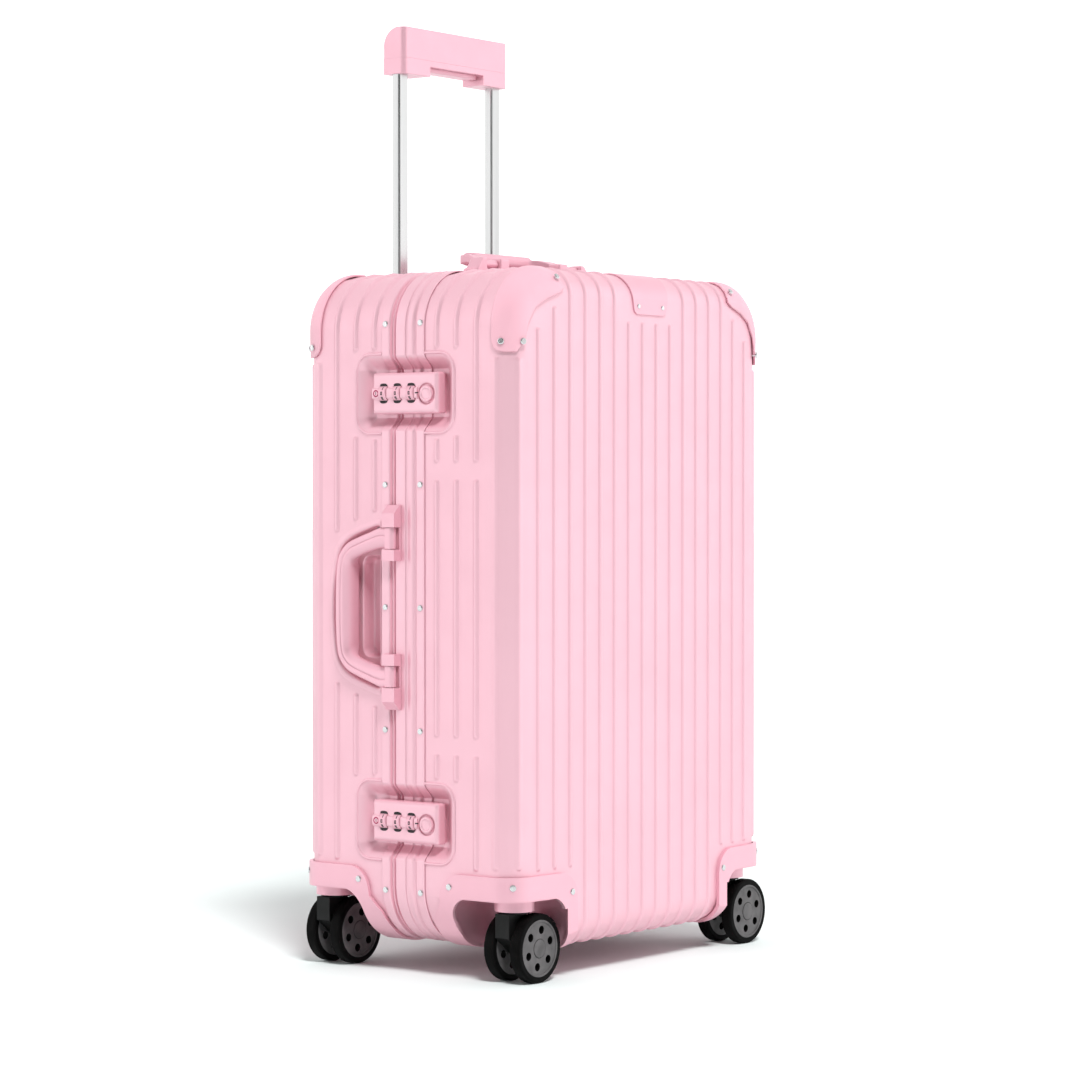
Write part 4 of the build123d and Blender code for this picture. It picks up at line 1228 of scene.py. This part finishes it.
# The painted shade in the slots over and under a dial, drawn as dark sheets: from their straight edge out to
# the bowed one, all in mm
SLOT_SHADE_HALF = 4.3
SLOT_SHADE_START = 7.0
SLOT_SHADE_END = 8.3
SLOT_SHADE_BOW = 1.3
PLATE_FACE = -199.4            # front of the plates behind the levers
PLATE_HALF_Z = 18.2
EARS_FROM = 28.0               # the pivot's ears lie beyond this depth


def curved_block(x, y, z, radius, y0, y1, angle0, angle1, rise, steps=3):
    """A thin block lying on a drum whose axis runs along Y; angles from straight out at -X."""
    low, high = radius - 0.15, radius + rise
    rows = []
    for i in range(steps + 1):
        angle = angle0 + (angle1 - angle0) * i / steps
        section = ((low, y0), (high, y0), (high, y1), (low, y1))
        rows.append([(x - r * cos(angle), y + yy, z + r * sin(angle)) for r, yy in section])
    return skin(rows)


def domed_strip(y0, y1, z, steps=12):
    """A stretch of the raised bar: a low rounded section drawn along Y."""
    section = []
    for i in range(steps + 1):
        t = -1 + 2 * i / steps
        rise = (BAR_RISE + BAR_ROOT) * (1 - t ** 4) ** 0.5
        section.append((LOCK_FRONT + BAR_ROOT - rise, z + BAR_HALF * t))
    return skin([[(x, y, up) for x, up in section] for y in (y0, y1)])


def clear_seat(vert, z):
    """Keep the softened lever out of the round seat that the knob slides in."""
    across = Vector((vert.co.y / MM - SEAT_Y, vert.co.z / MM - (z - SEAT_DROP)))
    if vert.co.x / MM > SEAT_FLOOR or across.length > SEAT_RADIUS:
        return
    if across.length < SEAT_RADIUS - SEAT_WALL:
        vert.co.x = SEAT_FLOOR * MM
        return
    across *= SEAT_RADIUS / across.length
    vert.co.y = (SEAT_Y + across.x) * MM
    vert.co.z = (z - SEAT_DROP + across.y) * MM


def add_lever(level, z):
    """A lock's lever case with soft corners, and the raised bar between its dials."""
    node = "lock_lever_" + level
    lever = copy_of(node, node + "_soft")
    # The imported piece's own bar is pressed flat, since the domed one takes its place.
    for vert in lever.data.vertices:
        if vert.co.x / MM < LOCK_FRONT - 0.2:
            vert.co.x = LOCK_FRONT * MM
    blend(lever, 0.75, 18)
    for vert in lever.data.vertices:
        clear_seat(vert, z)
    stand_in(lever, "lock", node)
    bar = make_object("lock_bar_" + level, *join([domed_strip(y0, y1, z) for y0, y1 in BAR_RUNS]))
    bar.data.set_sharp_from_angle(angle=radians(50))
    fit(bar, "lock", BODY_OF[node])


def add_numbers(name, y, z, body):
    """The numbers 0 to 9 round a dial."""
    parts = []
    for number, strokes in enumerate(NUMBERS):
        middle = 2 * pi * number / 10
        for stroke in strokes:
            (a0, u0), (a1, u1) = STROKES[stroke]
            start, end = sorted((-a0 * HALF_ACROSS, -a1 * HALF_ACROSS))
            low, high = sorted((u0 * HALF_UP, u1 * HALF_UP))
            angles = [middle + u / DIAL_RADIUS for u in (low - STROKE_THICK, high + STROKE_THICK)]
            places = (start - STROKE_THICK, end + STROKE_THICK, *angles)
            parts.append(curved_block(DIAL_X, y, z, DIAL_RADIUS, *places, STROKE_RISE))
    fit(make_object(name, *join(parts), smooth=False), "seal", body, INK_AND_SHADE)


def slot_shade_sheet(y, z, side, steps=8):
    """A dark sheet over or under a dial: painted shade inside the slot's opening, with a bowed far edge."""
    rows = []
    x_in, x_out = LOCK_FRONT + 0.3, LOCK_FRONT - 0.08
    for i in range(steps + 1):
        t = -1 + 2 * i / steps
        far = SLOT_SHADE_END + SLOT_SHADE_BOW * (1.0 - t * t) ** 0.5
        section = ((x_in, SLOT_SHADE_START), (x_out, SLOT_SHADE_START), (x_out, far), (x_in, far))
        rows.append([(x, y + t * SLOT_SHADE_HALF, z + side * up) for x, up in section])
    return skin(rows)


def add_slot_shade_and_mark(name, z, body):
    """Painted shade in the slots above and below each dial, as dark sheets, and the mark beside the knob."""
    parts = [slot_shade_sheet(y, z, side) for y in DIAL_Y for side in (-1, 1)]
    parts.append(curved_block(BAR_FRONT + FLAT, MARK_Y, z, FLAT, -2.6, 1.4, -0.012, 0.012, 0.08, 2))
    fit(make_object(name, *join(parts), smooth=False), "seal", body, INK_AND_SHADE)


def add_key_ring(name, z, body):
    """The rim of the keyhole, and its slit as a thin dark block: painted shade inside the keyhole."""
    points, faces = ring_mesh(KEY_RADIUS, 0.6, 0.3)
    verts = [(BAR_FRONT - along, KEY_Y + across, z + up) for along, across, up in points]
    fit(make_object(name, verts, faces), "lock", body, KEY_RED)
    # thin dark block in the keyhole: painted shade of its opening
    keyhole_shade = curved_block(BAR_FRONT + FLAT, KEY_Y, z, FLAT, -0.35, 0.35, -0.03, 0.03, 0.05, 3)
    fit(make_object(name + "_slit_painted_shade", *keyhole_shade, smooth=False), "seal", body, INK_AND_SHADE)


def trim_lock_bases():
    """The plates behind the levers, with the pivot's ears drawn back into the plate."""
    obj = copy_of("lock_bases", "lock_bases_plain")
    for vert in obj.data.vertices:
        z = vert.co.z / MM
        lock_z = min(LOCK_Z, key=lambda level: abs(level - z))
        if abs(z - lock_z) > PLATE_HALF_Z:
            vert.co.z = (lock_z + PLATE_HALF_Z * (1 if z > lock_z else -1)) * MM
        if vert.co.x / MM < PLATE_FACE - 0.1 and vert.co.y / MM > EARS_FROM:
            vert.co.x = (PLATE_FACE + 0.1) * MM
    round_edges(obj, 0.4)
    stand_in(obj, "lock", "lock_bases")


for level, lock_z in zip(("lower", "upper"), LOCK_Z):
    for i, y in enumerate(DIAL_Y, 1):
        add_numbers(f"numbers_{level}_{i}", y, lock_z, f"dial_{level}_{i}")
    add_lever(level, lock_z)
    # dark sheets in the dial slots: painted shade, and the printed mark beside the knob
    add_slot_shade_and_mark("painted_slot_shade_" + level, lock_z, "lever_" + level)
    add_key_ring("key_rim_" + level, lock_z, "lever_" + level)
trim_lock_bases()


# ---------------------------------------------------------------- corner caps and lining

CAP_RIM = 1.9                  # height of the cap's border over the case
CAP_ROLL = 0.7                 # rise over the first few millimetres from the border
CAP_ROLL_RUN = 2.4
CAP_DOME = 0.9                 # further rise towards the middle
CAP_DOME_RUN = 26.0
CAP_GAP = 0.3                  # height of the cap's inside over the case
CAP_FACING = 0.45              # how squarely a face looks out or in before it counts as border
LINING_DEPTH = -1.9


def case_distance(x, y, z):
    """Height in mm over the case's smooth outside, measured square to it."""
    qx = abs(x) - STRAIGHT_X
    qz = abs(z - MIDDLE) - STRAIGHT_Z
    across = sqrt(max(qx, 0) ** 2 + max(qz, 0) ** 2) + min(max(qx, qz), 0) - (CORNER - EDGE)
    along = abs(y) - (HALF_DEPTH - EDGE - crown_drop(min(abs(x), FACE_X)))
    return sqrt(max(across, 0) ** 2 + max(along, 0) ** 2) + min(max(across, along), 0) - EDGE


def case_slope(x, y, z):
    """The direction square to the case's outside."""
    step = 0.05
    slope = Vector((
        case_distance(x + step, y, z) - case_distance(x - step, y, z),
        case_distance(x, y + step, z) - case_distance(x, y - step, z),
        case_distance(x, y, z + step) - case_distance(x, y, z - step),
    ))
    return slope.normalized()


def cap_height(distance):
    """Height over the case at a distance from the cap's border."""
    roll = min(1.0, distance / CAP_ROLL_RUN)
    return CAP_RIM + CAP_ROLL * sqrt(1 - (1 - roll) ** 2) + CAP_DOME * smooth(distance / CAP_DOME_RUN)


def lift_to(vert, height):
    """Move a vertex square to the case until it's at a height over it."""
    spot = vert.co / MM
    for _ in range(4):
        spot += case_slope(*spot) * (height - case_distance(*spot))
    vert.co = spot * MM


def add_cap(node):
    """A pressed corner cap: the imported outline, domed between its borders."""
    obj = copy_of(node, node + "_domed")
    blend(obj, 1.1, 3)
    mesh = obj.data
    outside, border, inside = [], [], []
    for vert in mesh.vertices:
        up = case_slope(*(vert.co / MM)).dot(vert.normal)
        if up > CAP_FACING:
            outside.append(vert)
        elif up < -CAP_FACING:
            inside.append(vert)
        else:
            border.append(vert)
    tree = KDTree(len(border))
    for i, vert in enumerate(border):
        tree.insert(vert.co, i)
    tree.balance()
    for vert in outside:
        lift_to(vert, cap_height(tree.find(vert.co)[2] / MM))
    for vert in inside:
        lift_to(vert, CAP_GAP)
    for vert in border:
        lift_to(vert, min(max(case_distance(*(vert.co / MM)), CAP_GAP), CAP_RIM))
    stand_in(obj, "trim", node, CAP_LOOK)


def add_lining(node):
    """The cloth lining, drawn in where the case's corners are rounder than the lining's."""
    obj = copy_of(node, node + "_fitted")
    for vert in obj.data.vertices:
        if case_distance(*(vert.co / MM)) > LINING_DEPTH:
            lift_to(vert, LINING_DEPTH)
    shade(obj.data)
    weight_normals(obj)
    stand_in(obj, "lining", node)


for end, side in CORNERS:
    add_cap(f"{end}_cap_{side}")
add_lining("back_lining")
add_lining("front_lining")


# ---------------------------------------------------------------- side handle

ARM_BACK = -211.2              # back of the arms and of the grip: how deep the handle is there
GRIP_BACK = -200.8
ARM_END = 50.0                 # at this height over the middle the arm starts to deepen
ARM_RUN = 12.0
HANDLE_FRONT = -219.7
ROOT_END = 17.0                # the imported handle's roots are kept up to this depth
# Half of the handle's outline from a leg's root to the grip's middle: (height, depth y)
GRIP_OUT = [
    (76, 15.0), (76, 24), (71.3, 38), (66.2, 53), (60.5, 65.5), (50, 74.6), (36, 78.0), (18, 79.3),
    (0, 79.6),
]
GRIP_IN = [
    (56, 15.0), (56, 27), (52.8, 40.5), (48.6, 52.5), (45.2, 59.0), (40.5, 62.6), (33, 63.2),
    (16, 63.2), (0, 63.2),
]
# Section from the outer edge across to the inner one: (share across, depth from the front,
# share of the whole depth)
GRIP_SECTION = [
    (0.06, 0.0, 1.0), (0.0, 0.0, 0.93), (0.0, 1.8, 0.0), (0.02, 0.9, 0.0), (0.07, 0.25, 0.0),
    (0.14, 0.0, 0.0), (0.33, 0.0, 0.0), (0.355, 0.75, 0.0), (0.385, 0.8, 0.0), (0.41, 0.15, 0.0),
    (0.50, 0.0, 0.01), (0.60, 0.0, 0.035), (0.70, 0.0, 0.085), (0.79, 0.0, 0.16), (0.87, 0.0, 0.26),
    (0.94, 0.0, 0.40), (0.985, 0.0, 0.56), (1.0, 0.0, 0.72), (0.985, 0.0, 0.87), (0.93, 0.0, 0.97),
    (0.84, 0.0, 1.0),
]


def along_curve(points, steps=6):
    """Points sampled along a smooth open curve through the ones given."""
    knots = [Vector(p) for p in points]
    knots = [2 * knots[0] - knots[1]] + knots + [2 * knots[-1] - knots[-2]]
    curve = []
    for i in range(1, len(knots) - 2):
        curve += [curve_point(*knots[i - 1:i + 3], s / steps) for s in range(steps)]
    return curve + [knots[-2]]


def add_side_handle():
    """The strap of the side handle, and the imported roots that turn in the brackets."""
    half = list(zip(along_curve(GRIP_OUT), along_curve(GRIP_IN)))
    rows = []
    for sign, pairs in ((1, half), (-1, half[-2::-1])):
        for out, inn in pairs:
            back = ARM_BACK + (GRIP_BACK - ARM_BACK) * smooth((ARM_END - inn.x) / ARM_RUN)
            row = []
            for across, depth, part in GRIP_SECTION:
                spot = out + (inn - out) * across
                x = HANDLE_FRONT + depth + (back - HANDLE_FRONT) * part
                row.append((x, spot.y, MIDDLE + sign * spot.x))
            rows.append(row)
    strap = make_object("side_handle_grip", *skin(rows))
    face_out(strap)
    weight_normals(strap)
    roots = copy_of("side_handle", "side_handle_roots")
    with edited(roots.data) as bm:
        cut_off(bm, (0, ROOT_END * MM, 0), (0, 1, 0))
    round_edges(roots, 0.6)
    for piece in (strap, roots):
        stand_in(piece, "trim", "side_handle")


add_side_handle()
